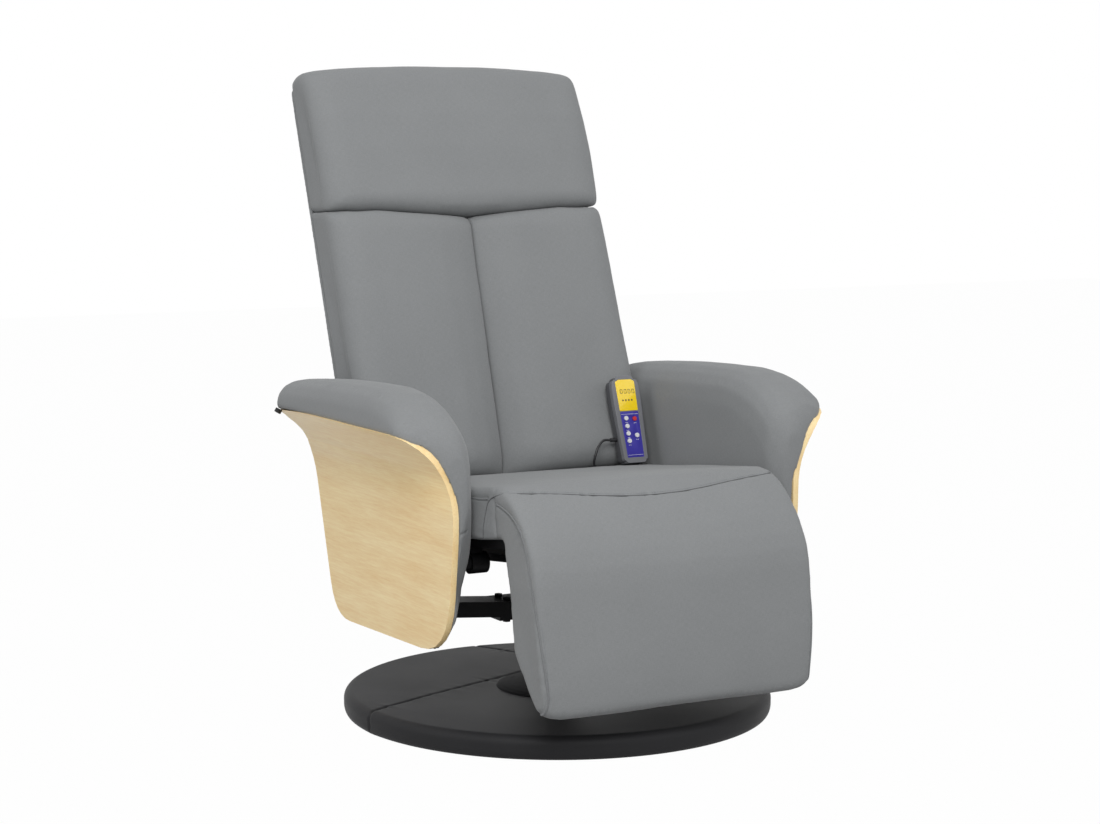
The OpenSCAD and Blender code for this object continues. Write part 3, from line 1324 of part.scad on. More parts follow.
// Sideways direction at each point, carried along without twist
function carried(i, side, list) =
    i >= len(cord_points) ? list
        : let (t = cord_heading(i), next = unit(side - t * (side * t)))
            carried(i + 1, next, concat(list, [next]));
module handset_cord() {
    sides = carried(0, [0, 1, 0], []);
    rings = [for (i = [0:len(cord_points) - 1])
        let (t = cord_heading(i), u = sides[i], w = cross(t, u))
        [for (k = [0:cord_sides - 1])
            cord_points[i] + cord_d / 2 * (cos(k * 360 / cord_sides) * u + sin(k * 360 / cord_sides) * w)]];
    color("#141415") skin(rings, cord_points[0], cord_points[len(cord_points) - 1]);
}

floor_pad();
base_board();
ballast_plate();
base_cover();
post_collar();
spindle_post();
base_bolts();
thrust_washer();
spindle_nut();
swivel_hub();
crossbar();
chassis_bolts();
seat_stubs();
arm_frame_left();
arm_frame_right();
arm_panel_left();
arm_panel_right();
arm_pad_left();
arm_pad_right();
flare_buffers();
seat_frame();
seat_webbing();
seat_cushion();
knee_roll();
dust_cover();
control_box();
power_inlet();
seat_massage_pods();
hinge_pins();
handset_cord();
back_frame();
rear_panel();
back_cushion_left();
back_cushion_right();
head_cushion();
back_massage_pods();
rod_pins();
footrest_board();
calf_cushion();
footrest_hinges();
push_rod_left();
push_rod_right();
seat_weight_left();
seat_weight_right();
low_weight_left();
low_weight_right();
high_weight_left();
high_weight_right();
handset_back();
handset_front();
screen_window();
keypad_overlay();
circuit_board();
strain_relief();
power_button();
program_button();
back_button();
seat_button();
speed_button();
timer_button();
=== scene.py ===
"""Visual model of a swivel massage recliner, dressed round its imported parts. Metres."""
import math
import bmesh
import bpy
import numpy as np
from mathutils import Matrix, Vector, noise
from mathutils.bvhtree import BVHTree


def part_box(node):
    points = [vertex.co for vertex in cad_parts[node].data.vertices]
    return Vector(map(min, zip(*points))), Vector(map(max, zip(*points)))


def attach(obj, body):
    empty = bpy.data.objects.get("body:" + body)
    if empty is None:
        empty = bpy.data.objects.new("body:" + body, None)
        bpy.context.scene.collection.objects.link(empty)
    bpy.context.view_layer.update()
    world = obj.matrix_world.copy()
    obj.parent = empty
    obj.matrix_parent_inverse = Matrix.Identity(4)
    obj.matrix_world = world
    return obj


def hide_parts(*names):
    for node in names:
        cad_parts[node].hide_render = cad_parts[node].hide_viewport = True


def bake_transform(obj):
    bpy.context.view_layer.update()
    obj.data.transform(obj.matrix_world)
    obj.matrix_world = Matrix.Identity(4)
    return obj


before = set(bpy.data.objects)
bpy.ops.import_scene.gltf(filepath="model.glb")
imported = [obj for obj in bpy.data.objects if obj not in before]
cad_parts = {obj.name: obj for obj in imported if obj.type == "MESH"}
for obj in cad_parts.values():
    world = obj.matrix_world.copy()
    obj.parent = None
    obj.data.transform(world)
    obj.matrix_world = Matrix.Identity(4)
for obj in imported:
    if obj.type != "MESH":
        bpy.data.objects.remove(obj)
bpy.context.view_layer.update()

scene = bpy.context.scene

# Studio: a pale floor, a white surround that only the camera and reflections see, and four
# soft lamps. The camera stands where the photographer stood, low in front and to the left.
def put_in_scene(name, data):
    """A new object of the scene, at the origin."""
    thing = bpy.data.objects.new(name, data)
    scene.collection.objects.link(thing)
    return thing


CAMERA_DIP, CAMERA_TURN = 6.6, 28.6
camera = put_in_scene("studio_camera", bpy.data.cameras.new("studio_camera"))
camera.data.sensor_width, camera.data.lens = 36.0, 79.46
camera.location = (-1.9553, -3.5602, 0.9784)
camera.rotation_euler = (math.radians(90 - CAMERA_DIP), 0, math.radians(-CAMERA_TURN))
scene.camera = camera
scene.view_settings.view_transform = "Standard"


def soft_lamp(name, place, aim, size, watts):
    """A round soft lamp that points at an aim."""
    lamp = bpy.data.lights.new(name, "AREA")
    lamp.shape, lamp.size, lamp.energy = "DISK", size, watts
    stand = put_in_scene(name, lamp)
    stand.location = place
    stand.rotation_euler = (Vector(aim) - Vector(place)).to_track_quat("-Z", "Y").to_euler()


soft_lamp("key_softbox", (-1.7, -3.4, 3.1), (0, 0, 0.75), 2.4, 133)
soft_lamp("fill_softbox", (3.4, -2.2, 2.2), (0, 0, 0.5), 3.0, 27)
soft_lamp("top_softbox", (0.3, 0.2, 3.9), (0, 0, 0.5), 2.6, 13)
soft_lamp("side_softbox", (-3.6, 0.2, 2.4), (0, 0, 0.4), 2.4, 25)


def new_node(tree, kind, **values):
    """A node with plain values on its named inputs."""
    node = tree.nodes.new(kind)
    for name, value in values.items():
        node.inputs[name].default_value = value
    return node


def node_math(tree, operation, a, b=0.0, clamp=False):
    """A sum or other operation on two values, each a number or another node's output."""
    node = tree.nodes.new("ShaderNodeMath")
    node.operation, node.use_clamp = operation, clamp
    for socket, value in zip(node.inputs, (a, b)):
        if isinstance(value, (int, float)):
            socket.default_value = value
        else:
            tree.links.new(value, socket)
    return node.outputs[0]


def seen_directly(tree):
    """1 for what the camera sees, directly, mirrored or through glass."""
    path = tree.nodes.new("ShaderNodeLightPath")
    mirrored = node_math(tree, "ADD", path.outputs["Is Camera Ray"], path.outputs["Is Glossy Ray"], True)
    return node_math(tree, "ADD", mirrored, path.outputs["Is Transmission Ray"], True)


def show_white(tree, share, real, shown, output):
    """Mixes the shader that lights the chair with the white one that only the camera sees."""
    mix = tree.nodes.new("ShaderNodeMixShader")
    for socket, source in zip(mix.inputs, (share, real.outputs[0], shown.outputs[0])):
        tree.links.new(source, socket)
    tree.links.new(mix.outputs[0], tree.nodes.new(output).inputs["Surface"])


WHITE = (1, 1, 1, 1)
surround = bpy.data.worlds.new("studio_surround")
surround.use_nodes = True
scene.world = surround
sky = surround.node_tree
sky.nodes.clear()
show_white(sky, seen_directly(sky),
           new_node(sky, "ShaderNodeBackground", Color=(0.97, 0.985, 1.0, 1), Strength=0.36),
           new_node(sky, "ShaderNodeBackground", Color=WHITE, Strength=1.0), "ShaderNodeOutputWorld")

FLOOR_REACH, FLOOR_WHITE = 9, 0.985
corners = [(x * FLOOR_REACH, y * FLOOR_REACH, 0) for x, y in ((-1, -1), (1, -1), (1, 1), (-1, 1))]
floor_mesh = bpy.data.meshes.new("studio_floor")
floor_mesh.from_pydata(corners, [], [(0, 1, 2, 3)])
floor = put_in_scene("studio_floor", floor_mesh)
floor_paint = bpy.data.materials.new("pale_floor")
floor_paint.use_nodes = True
paint = floor_paint.node_tree
paint.nodes.clear()
show_white(paint, node_math(paint, "MULTIPLY", seen_directly(paint), FLOOR_WHITE),
           new_node(paint, "ShaderNodeBsdfDiffuse", Color=(0.44, 0.44, 0.44, 1)),
           new_node(paint, "ShaderNodeEmission", Color=WHITE, Strength=1.0), "ShaderNodeOutputMaterial")
floor_mesh.materials.append(floor_paint)


# Hand control's cord: thin black flex. It leaves the relief on the control's left side, drops
# over the rear of the seat and runs down behind the cushion to the gland of the control box.
def chair_point(y, z, tilt, point):
    """World place of a point [x, back, up] of a part that is tilted about a hinge."""
    x, back, up = point
    lean = math.radians(tilt)
    return np.array([x, y + back * math.cos(lean) + up * math.sin(lean),
                     z - back * math.sin(lean) + up * math.cos(lean)])


KNEE, HIP = (-0.290, 0.340), (0.206, 0.315)
SEAT_TILT, FOOT_TILT, BACK_LEAN, HAND_LEAN = 6.5, 8.0, 20.0, 18.0


def seat_point(*point):
    return chair_point(*KNEE, SEAT_TILT, point)


def foot_point(*point):
    return chair_point(*KNEE, FOOT_TILT, point)


def back_point(*point):
    return chair_point(*HIP, BACK_LEAN, point)


def smooth_path(points, steps):
    """Points on one smooth curve through the given points."""
    p = [np.array(q, float) for q in points]
    line = []
    for i in range(len(p) - 1):
        a, b, c, d = p[max(i - 1, 0)], p[i], p[i + 1], p[min(i + 2, len(p) - 1)]
        for k in range(steps):
            f = k / steps
            line.append(0.5 * (2 * b + (c - a) * f + (2 * a - 5 * b + 4 * c - d) * f * f
                               + (3 * b - a - 3 * c + d) * f ** 3))
    return np.array(line + [p[-1]])


relief_end = np.array([0.1835, 0.139383, 0.433794])
gland_end = np.array([0.089, 0.166364, 0.264301])
cord_diameter = 0.0044
cord_route = [relief_end, relief_end - (0.014, 0, 0),
              (0.156, 0.134, 0.424), (0.149, 0.132, 0.409), (0.148, 0.135, 0.397),
              (0.153, 0.143, 0.391), (0.161, 0.154, 0.388), (0.169, 0.164, 0.384),
              (0.175, 0.171, 0.3805), (0.180, 0.178, 0.375), (0.183, 0.185, 0.3675),
              (0.184, 0.1905, 0.356), (0.184, 0.1935, 0.340), (0.184, 0.194, 0.316),
              (0.1825, 0.194, 0.292), (0.176, 0.190, 0.273), (0.160, 0.181, 0.263),
              (0.140, 0.173, 0.2605), (0.121, 0.168, 0.262), gland_end + (0.014, 0, 0), gland_end]
cord_line = smooth_path(cord_route, 5)


def new_material(name, base, rough, **sockets):
    """A Principled material with plain numbers set on the shader's own sockets."""
    material = bpy.data.materials.new(name)
    material.use_nodes = True
    shader = material.node_tree.nodes["Principled BSDF"]
    for socket, value in dict(Base_Color=(*base, 1), Roughness=rough, **sockets).items():
        shader.inputs[socket.replace("_", " ")].default_value = value
    return material, shader


def noise_value(tree, where, scale, detail, rough=0.5, stretch=None):
    """Noise from 0 to 1, stretched along each way where three scales are given."""
    node = new_node(tree, "ShaderNodeTexNoise", Detail=detail, Roughness=rough)
    if isinstance(scale, (int, float)):
        node.inputs["Scale"].default_value = scale
    else:
        tree.links.new(scale, node.inputs["Scale"])
    if stretch:
        mapping = new_node(tree, "ShaderNodeMapping", Scale=stretch)
        tree.links.new(where, mapping.inputs["Vector"])
        where = mapping.outputs[0]
    tree.links.new(where, node.inputs["Vector"])
    return node.outputs[0]


# Shared effect: the fine skin of moulded and painted parts. It puts out a soft stain, a fine
# grain and rubbed spots, each from 0 to 1 or about that.
skin_group = bpy.data.node_groups.new("fine_skin", "ShaderNodeTree")
for label, way, kind, value in (
        ("Vector", "INPUT", "Vector", (0, 0, 0)), ("Grain Scale", "INPUT", "Float", 900.0),
        ("Stain Scale", "INPUT", "Float", 14.0), ("Grain", "OUTPUT", "Float", 0.0),
        ("Stain", "OUTPUT", "Float", 0.0), ("Rub", "OUTPUT", "Float", 0.0)):
    socket = skin_group.interface.new_socket(label, in_out=way, socket_type="NodeSocket" + kind)
    socket.default_value = value
skin_in = skin_group.nodes.new("NodeGroupInput").outputs
skin_out = skin_group.nodes.new("NodeGroupOutput").inputs
grain = noise_value(skin_group, skin_in["Vector"], skin_in["Grain Scale"], 3.0)
stain = noise_value(skin_group, skin_in["Vector"], skin_in["Stain Scale"], 4.0)
rub = noise_value(skin_group, skin_in["Vector"], 60.0, 5.0, 0.7)
rub = node_math(skin_group, "SUBTRACT", rub, 0.56, True)
rub = node_math(skin_group, "MULTIPLY", rub, 6.0, True)
for label, made in (("Grain", grain), ("Stain", stain), ("Rub", rub)):
    skin_group.links.new(made, skin_out[label])


def tinted(tree, base, lighter, mask):
    """Colour between two tints by a mask."""
    node = tree.nodes.new("ShaderNodeMix")
    node.data_type = "RGBA"
    node.inputs["A"].default_value = (*base, 1)
    node.inputs["B"].default_value = (*lighter, 1)
    tree.links.new(mask, node.inputs["Factor"])
    return node.outputs["Result"]


def add_relief(tree, shader, height, strength, distance):
    """Fine relief on a shader's surface."""
    bump = new_node(tree, "ShaderNodeBump", Strength=strength, Distance=distance)
    tree.links.new(height, bump.inputs["Height"])
    tree.links.new(bump.outputs[0], shader.inputs["Normal"])


def moulded(name, base, lighter, rough, grain, grain_scale=900.0, metal=0.0, **sockets):
    """Moulded, painted or plated finish with grain, faint stains and uneven gloss."""
    material, shader = new_material(name, base, rough, Metallic=metal, **sockets)
    tree = material.node_tree
    effect = tree.nodes.new("ShaderNodeGroup")
    effect.node_tree = skin_group
    effect.inputs["Grain Scale"].default_value = grain_scale
    tree.links.new(tree.nodes.new("ShaderNodeTexCoord").outputs["Object"], effect.inputs["Vector"])
    tree.links.new(tinted(tree, base, lighter, effect.outputs["Stain"]), shader.inputs["Base Color"])
    gloss = node_math(tree, "ADD", node_math(tree, "MULTIPLY", effect.outputs["Rub"], 0.10),
                      node_math(tree, "MULTIPLY", effect.outputs["Stain"], 0.14))
    tree.links.new(node_math(tree, "ADD", gloss, rough - 0.07), shader.inputs["Roughness"])
    add_relief(tree, shader, effect.outputs["Grain"], grain, 0.0003)
    return material


def final_mesh(piece):
    """A plain mesh of a piece, as its modifiers or its curve's thickness make it."""
    bpy.context.view_layer.update()
    return bpy.data.meshes.new_from_object(piece.evaluated_get(bpy.context.evaluated_depsgraph_get()))


def all_smooth(mesh):
    mesh.polygons.foreach_set("use_smooth", [True] * len(mesh.polygons))


def apply_modifiers(piece):
    """Makes a piece the plain smooth mesh that its modifiers show."""
    mesh = final_mesh(piece)
    piece.modifiers.clear()
    piece.data = mesh
    all_smooth(mesh)
    return mesh


def give_finish(piece, material):
    """Gives a whole piece one finish."""
    piece.data.materials.clear()
    piece.data.materials.append(material)


def tube(name, lines, radius, material, fineness=2):
    """Closed round tubes along lines."""
    curve = bpy.data.curves.new(name, "CURVE")
    curve.dimensions = "3D"
    curve.bevel_depth, curve.bevel_resolution, curve.use_fill_caps = radius, fineness, True
    for line in lines:
        spline = curve.splines.new("POLY")
        spline.points.add(len(line) - 1)
        spline.points.foreach_set("co", np.c_[line, np.ones(len(line))].ravel())
    drawn = put_in_scene(name, curve)
    mesh = final_mesh(drawn)
    bpy.data.objects.remove(drawn)
    all_smooth(mesh)
    piece = put_in_scene(name, mesh)
    give_finish(piece, material)
    return piece


flex_rubber = moulded("flex_rubber", (0.012, 0.012, 0.013), (0.022, 0.022, 0.024), 0.5, 0.1)
flex = tube("handset_cord_flex", [cord_line], cord_diameter / 2, flex_rubber, 3)
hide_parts("handset_cord")
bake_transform(flex)


# Base cover: dark grained artificial leather, three joined panels drawn over a padded board
# and tucked in under its rim. The joints are sunk seams.
def linked_piece(name, points, faces, material=None):
    """A smooth mesh object with outward faces."""
    points = np.asarray(points, float)
    tris = np.array([(f[0], f[k], f[k + 1]) for f in faces for k in range(1, len(f) - 1)])
    a, b, c = (points[tris[:, k]] for k in range(3))
    if np.einsum("ij,ij->i", a, np.cross(b, c)).sum() < 0:
        faces = [f[::-1] for f in faces]
    mesh = bpy.data.meshes.new(name)
    mesh.from_pydata(points.tolist(), [], faces)
    all_smooth(mesh)
    if material:
        mesh.materials.append(material)
    return put_in_scene(name, mesh)


def values_of(items, key, width=1, kind=float):
    """One value, or one row of values, of each vertex, edge, loop or face."""
    values = np.zeros(len(items) * width, kind)
    items.foreach_get(key, values)
    return values.reshape(-1, width) if width > 1 else values


def mesh_points(mesh, key="co"):
    """The places of a mesh's points, or their normals."""
    return values_of(mesh.vertices, key, 3)


def set_points(mesh, co):
    mesh.vertices.foreach_set("co", np.asarray(co, np.float32).ravel())
    mesh.update()


def ring_faces(rings, ring, closed):
    """Faces between neighbouring rings of points; a closed run joins its last ring to its first."""
    return [(k * ring + i, k * ring + (i + 1) % ring,
             (k + 1) % rings * ring + (i + 1) % ring, (k + 1) % rings * ring + i)
            for k in range(rings if closed else rings - 1) for i in range(ring)]


def distance_to_path(points, path):
    """Distance of each point from a path, and the length along the path at its nearest place."""
    path = np.asarray(path, float)
    best, along, run = np.full(len(points), 1e9), np.zeros(len(points)), 0.0
    for a, b in zip(path[:-1], path[1:]):
        step = b - a
        length = float(np.linalg.norm(step))
        if length < 1e-9:
            continue
        f = np.clip((points - a) @ step / length ** 2, 0, 1)
        away = np.linalg.norm(points - a - f[:, None] * step, axis=1)
        closer = away < best
        best[closer], along[closer] = away[closer], (run + f * length)[closer]
        run += length
    return best, along


PUCKER_PITCH, PUCKER_REACH = 0.009, 0.016


def press_seam(piece, path, seam, seed):
    """Sinks a sewn seam into a piece along a path; the seam is its width, depth and pucker."""
    width, depth, pucker = seam
    mesh = piece.data
    for finer in range(2):
        work = bmesh.new()
        work.from_mesh(mesh)
        near = distance_to_path(mesh_points(mesh), path)[0] < width * (2.4 - finer)
        edges = [e for e in work.edges if (near[e.verts[0].index] or near[e.verts[1].index])
                 and e.calc_length() > width * 0.45]
        bmesh.ops.subdivide_edges(work, edges=edges, cuts=1, use_grid_fill=True)
        work.to_mesh(mesh)
        work.free()
    co, out = mesh_points(mesh), mesh_points(mesh, "normal")
    away, along = distance_to_path(co, path)
    sink = -depth * np.exp(-(away / (width / 2)) ** 2)
    wave = np.random.default_rng(seed).normal(size=int(along.max() / PUCKER_PITCH) + 4)
    wave_here = np.interp(along / PUCKER_PITCH, range(len(wave)), wave)
    sink += pucker * np.exp(-away / PUCKER_REACH) * wave_here
    set_points(mesh, co + out * sink[:, None])
    all_smooth(mesh)


leather, leather_shader = new_material("base_leather", (0.022, 0.022, 0.024), 0.5,
                                       Specular_IOR_Level=0.12)
hide = leather.node_tree
hide_where = hide.nodes.new("ShaderNodeTexCoord").outputs["Object"]
pebble = new_node(hide, "ShaderNodeTexVoronoi", Scale=620)
pebble.feature = "SMOOTH_F1"
hide.links.new(hide_where, pebble.inputs["Vector"])
crease = noise_value(hide, hide_where, 190, 4.0, 0.6)
hide_height = node_math(hide, "ADD", pebble.outputs["Distance"],
                        node_math(hide, "MULTIPLY", crease, 0.6))
hide_cloud = noise_value(hide, hide_where, 7, 4.0)
hide.links.new(tinted(hide, (0.017, 0.017, 0.018), (0.028, 0.028, 0.030), hide_cloud),
               leather_shader.inputs["Base Color"])
hide.links.new(node_math(hide, "ADD", node_math(hide, "MULTIPLY", hide_cloud, 0.16), 0.46),
               leather_shader.inputs["Roughness"])
add_relief(hide, leather_shader, hide_height, 0.22, 0.0006)

COVER_R, COVER_H, COVER_RIM, COVER_LIP, COVER_HOLE = 0.363, 0.040, 0.015, 0.002, 0.092
TUCK_R, TUCK_Z, PLATE_R, PLATE_Z = 0.3486, 0.0216, 0.2606, 0.0276
TOP_SPAN, TOP_CROWN, COVER_TURNS = 0.256, 0.0012, 288
rim_turn = np.radians(np.linspace(0, 90, 14))
cover_profile = [(COVER_HOLE, 0.028), (COVER_HOLE, COVER_H - 0.004), (COVER_HOLE + 0.001, COVER_H - 0.001)]
cover_profile += [(r, COVER_H + TOP_CROWN * math.sin(math.pi * (r - COVER_HOLE) / TOP_SPAN))
                  for r in np.linspace(COVER_HOLE + 0.004, COVER_R - COVER_RIM, 50)]
cover_profile += [(COVER_R - COVER_RIM * (1 - math.sin(a)), COVER_H - COVER_RIM * (1 - math.cos(a)))
                  for a in rim_turn[1:]]
cover_profile += [(COVER_R, 0.0225), (COVER_R - 0.0001, 0.020)]
cover_profile += [(COVER_R - 0.0075 * (1 - math.cos(a)), 0.0175 - 0.0155 * math.sin(a))
                  for a in rim_turn[1:]]
cover_profile += [(TUCK_R, COVER_LIP), (TUCK_R, TUCK_Z), (PLATE_R, TUCK_Z), (PLATE_R, PLATE_Z)]
cover_turns = [2 * math.pi * k / COVER_TURNS for k in range(COVER_TURNS)]
cover_points = [(r * math.cos(turn), r * math.sin(turn), z)
                for turn in cover_turns for r, z in cover_profile]
cover = linked_piece("base_cover_leather", cover_points, ring_faces(COVER_TURNS, len(cover_profile), True),
                     leather)

# The cover's joints: a long one beside the post, and a short one that meets it at a right angle.
JOINT_ANGLE, LONG_OFF, CROSS_OFF = math.radians(21.7), 0.1138, 0.150
joint_along = np.array([math.cos(JOINT_ANGLE), math.sin(JOINT_ANGLE), 0])
joint_across = np.array([-math.sin(JOINT_ANGLE), math.cos(JOINT_ANGLE), 0])
joint_mid = joint_across * LONG_OFF + (0, 0, COVER_H)


def to_rim(radius, off):
    """Half the length of a line that crosses a circle at a distance from its centre."""
    return math.sqrt(radius ** 2 - off ** 2)


TOP_R, PAST_RIM = COVER_R - 0.012, 0.0005
rim_ends = [joint_mid + joint_along * (to_rim(COVER_R, LONG_OFF) + PAST_RIM) * side for side in (-1, 1)]
down_rim = [[end - (0, 0, drop) for drop in (0.002, 0.010, 0.020, 0.034)] for end in rim_ends]
on_top = [joint_mid + joint_along * f * to_rim(TOP_R, LONG_OFF) for f in (-1, 1)]
cross_foot = joint_mid + joint_along * CROSS_OFF
cross_top = cross_foot + joint_across * (to_rim(TOP_R, CROSS_OFF) - LONG_OFF)
cross_out = joint_across * (to_rim(COVER_R, CROSS_OFF) + PAST_RIM) + joint_along * CROSS_OFF
over_rim = [cross_out + (0, 0, COVER_H - drop) for drop in (0.010, 0.020, 0.034)]
LEATHER_SEAM = 0.006, 0.0026, 0.0004
press_seam(cover, down_rim[0][::-1] + on_top + down_rim[1], LEATHER_SEAM, 3)
press_seam(cover, [cross_foot, cross_top] + over_rim, LEATHER_SEAM, 4)
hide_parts("base_cover")
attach(cover, "base")


# Base board, ballast, post, hub and crossbar: cut plywood, raw steel, and black powder-coated
# steel held by zinc-plated bolts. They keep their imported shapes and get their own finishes.
black_steel = moulded("black_powder_coat", (0.004, 0.004, 0.0045), (0.009, 0.009, 0.010), 0.5,
                      0.35, 1400, Specular_IOR_Level=0.2)
zinc_plate = moulded("zinc_plate", (0.42, 0.43, 0.44), (0.56, 0.57, 0.57), 0.36, 0.12, 1600, metal=1.0)
black_plastic = moulded("black_plastic", (0.013, 0.013, 0.014), (0.020, 0.020, 0.021), 0.48, 0.3, 1500)
# The post collar's plastic is darker than the other black plastic: partly its own black colour, partly
# painted shade under the seat.
shade_darkened_plastic = moulded("black_plastic_painted_shade", (0.008, 0.008, 0.009), (0.014, 0.014, 0.015), 0.74, 0.3, 1100,
                       Specular_IOR_Level=0.12)
raw_plate = moulded("raw_steel_plate", (0.09, 0.09, 0.095), (0.14, 0.135, 0.13), 0.55, 0.3, 700, metal=0.8)
bronze = moulded("sintered_bronze", (0.50, 0.34, 0.15), (0.62, 0.45, 0.22), 0.42, 0.35, 1800, metal=1.0)
pad_rubber = moulded("non_slip_rubber", (0.014, 0.014, 0.015), (0.026, 0.026, 0.028), 0.8, 0.5, 600)


def wood_tone(material, shader, vector, light, dark, figure):
    """Lacquered wood with its grain along the first coordinate of the vector."""
    tree = material.node_tree
    broad = noise_value(tree, vector, 1.0, 3.0, 0.55, (5, 34, 34))
    lines = noise_value(tree, vector, 1.0, 4.0, 0.75, (20, 330, 330))
    pores = noise_value(tree, vector, 1.0, 2.0, 0.5, (42, 1500, 1500))
    warm = node_math(tree, "ADD", node_math(tree, "MULTIPLY", broad, figure),
                     node_math(tree, "MULTIPLY", lines, 1.0 - figure))
    spread = node_math(tree, "MULTIPLY", node_math(tree, "SUBTRACT", warm, 0.36), 3.4, True)
    tree.links.new(tinted(tree, dark, light, spread), shader.inputs["Base Color"])
    tree.links.new(node_math(tree, "ADD", node_math(tree, "MULTIPLY", pores, 0.18), 0.34),
                   shader.inputs["Roughness"])
    add_relief(tree, shader, node_math(tree, "ADD", lines, pores), 0.16, 0.0003)


plywood, plywood_shader = new_material("raw_plywood", (0.58, 0.42, 0.24), 0.6)
wood_tone(plywood, plywood_shader, plywood.node_tree.nodes.new("ShaderNodeTexCoord").outputs["Object"],
          (0.66, 0.50, 0.30), (0.48, 0.33, 0.18), 0.5)


def dress(material, *names):
    """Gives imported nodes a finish; their shape and place stay."""
    for name in names:
        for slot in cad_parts[name].material_slots:
            slot.material = material


dress(pad_rubber, "flare_buffers")
dress(plywood, "base_board", "arm_frame_left", "arm_frame_right", "footrest_board")
dress(raw_plate, "ballast_plate")
dress(shade_darkened_plastic, "post_collar")
dress(black_plastic, "control_box", "power_inlet", "seat_massage_pods", "back_massage_pods")
dress(black_steel, "spindle_post", "swivel_hub", "crossbar", "chassis_bolts", "seat_stubs", "seat_frame",
      "back_frame", "footrest_hinges", "push_rod_left", "push_rod_right")
dress(zinc_plate, "base_bolts", "spindle_nut", "hinge_pins", "rod_pins")
dress(bronze, "thrust_washer", "seat_weight_left", "seat_weight_right", "low_weight_left",
      "low_weight_right", "high_weight_left", "high_weight_right")


# Upholstery: one grey woven cloth over foam on every cushion, sewn from panels. Each form is a
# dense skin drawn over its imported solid, relaxed until the edges are round, and faintly folded.
WEAVE_PITCH = 0.0017


def cloth(name, light, dark, own_map=True):
    """Woven cloth: mixed grey threads, a plain weave in relief, and a soft sheen."""
    material, shader = new_material(name, light, 0.9, Specular_IOR_Level=0.22, Sheen_Weight=0.18,
                                    Sheen_Roughness=0.45)
    tree = material.node_tree
    if own_map:
        laid = tree.nodes.new("ShaderNodeUVMap")
        laid.uv_map = "cloth"
        where = laid.outputs["UV"]
    else:
        where = tree.nodes.new("ShaderNodeTexCoord").outputs["Object"]
    split = tree.nodes.new("ShaderNodeSeparateXYZ")
    tree.links.new(where, split.inputs[0])
    weave = None
    for socket in split.outputs[:2]:
        wave = node_math(tree, "SINE", node_math(tree, "MULTIPLY", socket, 2 * math.pi / WEAVE_PITCH))
        weave = wave if weave is None else node_math(tree, "MULTIPLY", weave, wave)
    warp = noise_value(tree, where, 1.0, 3.0, 0.6, (130, 1700, 400))
    weft = noise_value(tree, where, 1.0, 3.0, 0.6, (1700, 130, 400))
    fleck = noise_value(tree, where, 1500, 1.0)
    cloud = noise_value(tree, where, 7, 3.0)
    threads = node_math(tree, "ADD", node_math(tree, "MULTIPLY", warp, 0.5),
                        node_math(tree, "MULTIPLY", weft, 0.5))
    mixed = node_math(tree, "ADD", node_math(tree, "MULTIPLY", threads, 0.72), node_math(
        tree, "ADD", node_math(tree, "MULTIPLY", fleck, 0.16), node_math(tree, "MULTIPLY", cloud, 0.12)))
    mask = node_math(tree, "MULTIPLY", node_math(tree, "SUBTRACT", mixed, 0.26), 2.1, True)
    tree.links.new(tinted(tree, dark, light, mask), shader.inputs["Base Color"])
    tree.links.new(node_math(tree, "ADD", node_math(tree, "MULTIPLY", fleck, 0.14), 0.82),
                   shader.inputs["Roughness"])
    relief = node_math(tree, "ADD", node_math(tree, "MULTIPLY", weave, 0.35),
                       node_math(tree, "MULTIPLY", threads, 1.6))
    add_relief(tree, shader, relief, 0.30, 0.0005)
    return material


grey_cloth = cloth("grey_cloth", (0.292, 0.300, 0.304), (0.182, 0.188, 0.192))
welt_cloth = cloth("welt_cloth", (0.250, 0.257, 0.262), (0.150, 0.155, 0.160), False)
thread = moulded("grey_thread", (0.17, 0.175, 0.185), (0.25, 0.26, 0.27), 0.8, 0.3, 3000)


def relax(co, edges, times):
    """Moves each point half-way to the mean of its neighbours, so many times."""
    count = np.bincount(edges.ravel(), minlength=len(co))[:, None]
    for turn in range(times):
        total = np.zeros_like(co)
        for axis in range(3):
            total[:, axis] = (np.bincount(edges[:, 0], co[edges[:, 1], axis], len(co))
                              + np.bincount(edges[:, 1], co[edges[:, 0], axis], len(co)))
        co = co + 0.5 * (total / np.maximum(count, 1) - co)
    return co


def packed_mesh(name, nodes):
    """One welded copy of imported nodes, in place."""
    work = bmesh.new()
    for node in nodes:
        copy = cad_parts[node].data.copy()
        copy.transform(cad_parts[node].matrix_world)
        work.from_mesh(copy)
        bpy.data.meshes.remove(copy)
    bmesh.ops.remove_doubles(work, verts=work.verts, dist=2e-6)
    work.normal_update()
    mesh = bpy.data.meshes.new(name)
    work.to_mesh(mesh)
    work.free()
    return mesh


SKIN_PROUD = 0.0005


def soft_body(name, nodes, cell, times, reshape):
    """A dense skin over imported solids, relaxed, with its stray inner shells left out."""
    mesh = packed_mesh(name, nodes)
    set_points(mesh, mesh_points(mesh) + mesh_points(mesh, "normal") * SKIN_PROUD)
    piece = put_in_scene(name, mesh)
    grid = piece.modifiers.new("skin_grid", "REMESH")
    grid.mode, grid.voxel_size = "VOXEL", cell
    dense = apply_modifiers(piece)
    work = bmesh.new()
    work.from_mesh(dense)
    left, shells = set(work.verts), []
    while left:
        front = [left.pop()]
        shell = list(front)
        while front:
            near = [e.other_vert(v) for v in front for e in v.link_edges]
            front = list({v for v in near if v in left})
            left.difference_update(front)
            shell += front
        shells.append(shell)
    shells.sort(key=len)
    bmesh.ops.delete(work, geom=[v for shell in shells[:-1] for v in shell], context="VERTS")
    work.to_mesh(dense)
    work.free()
    co = mesh_points(dense)
    co = reshape(co) if reshape else co
    set_points(dense, relax(co, values_of(dense.edges, "vertices", 2, int), times))
    return piece


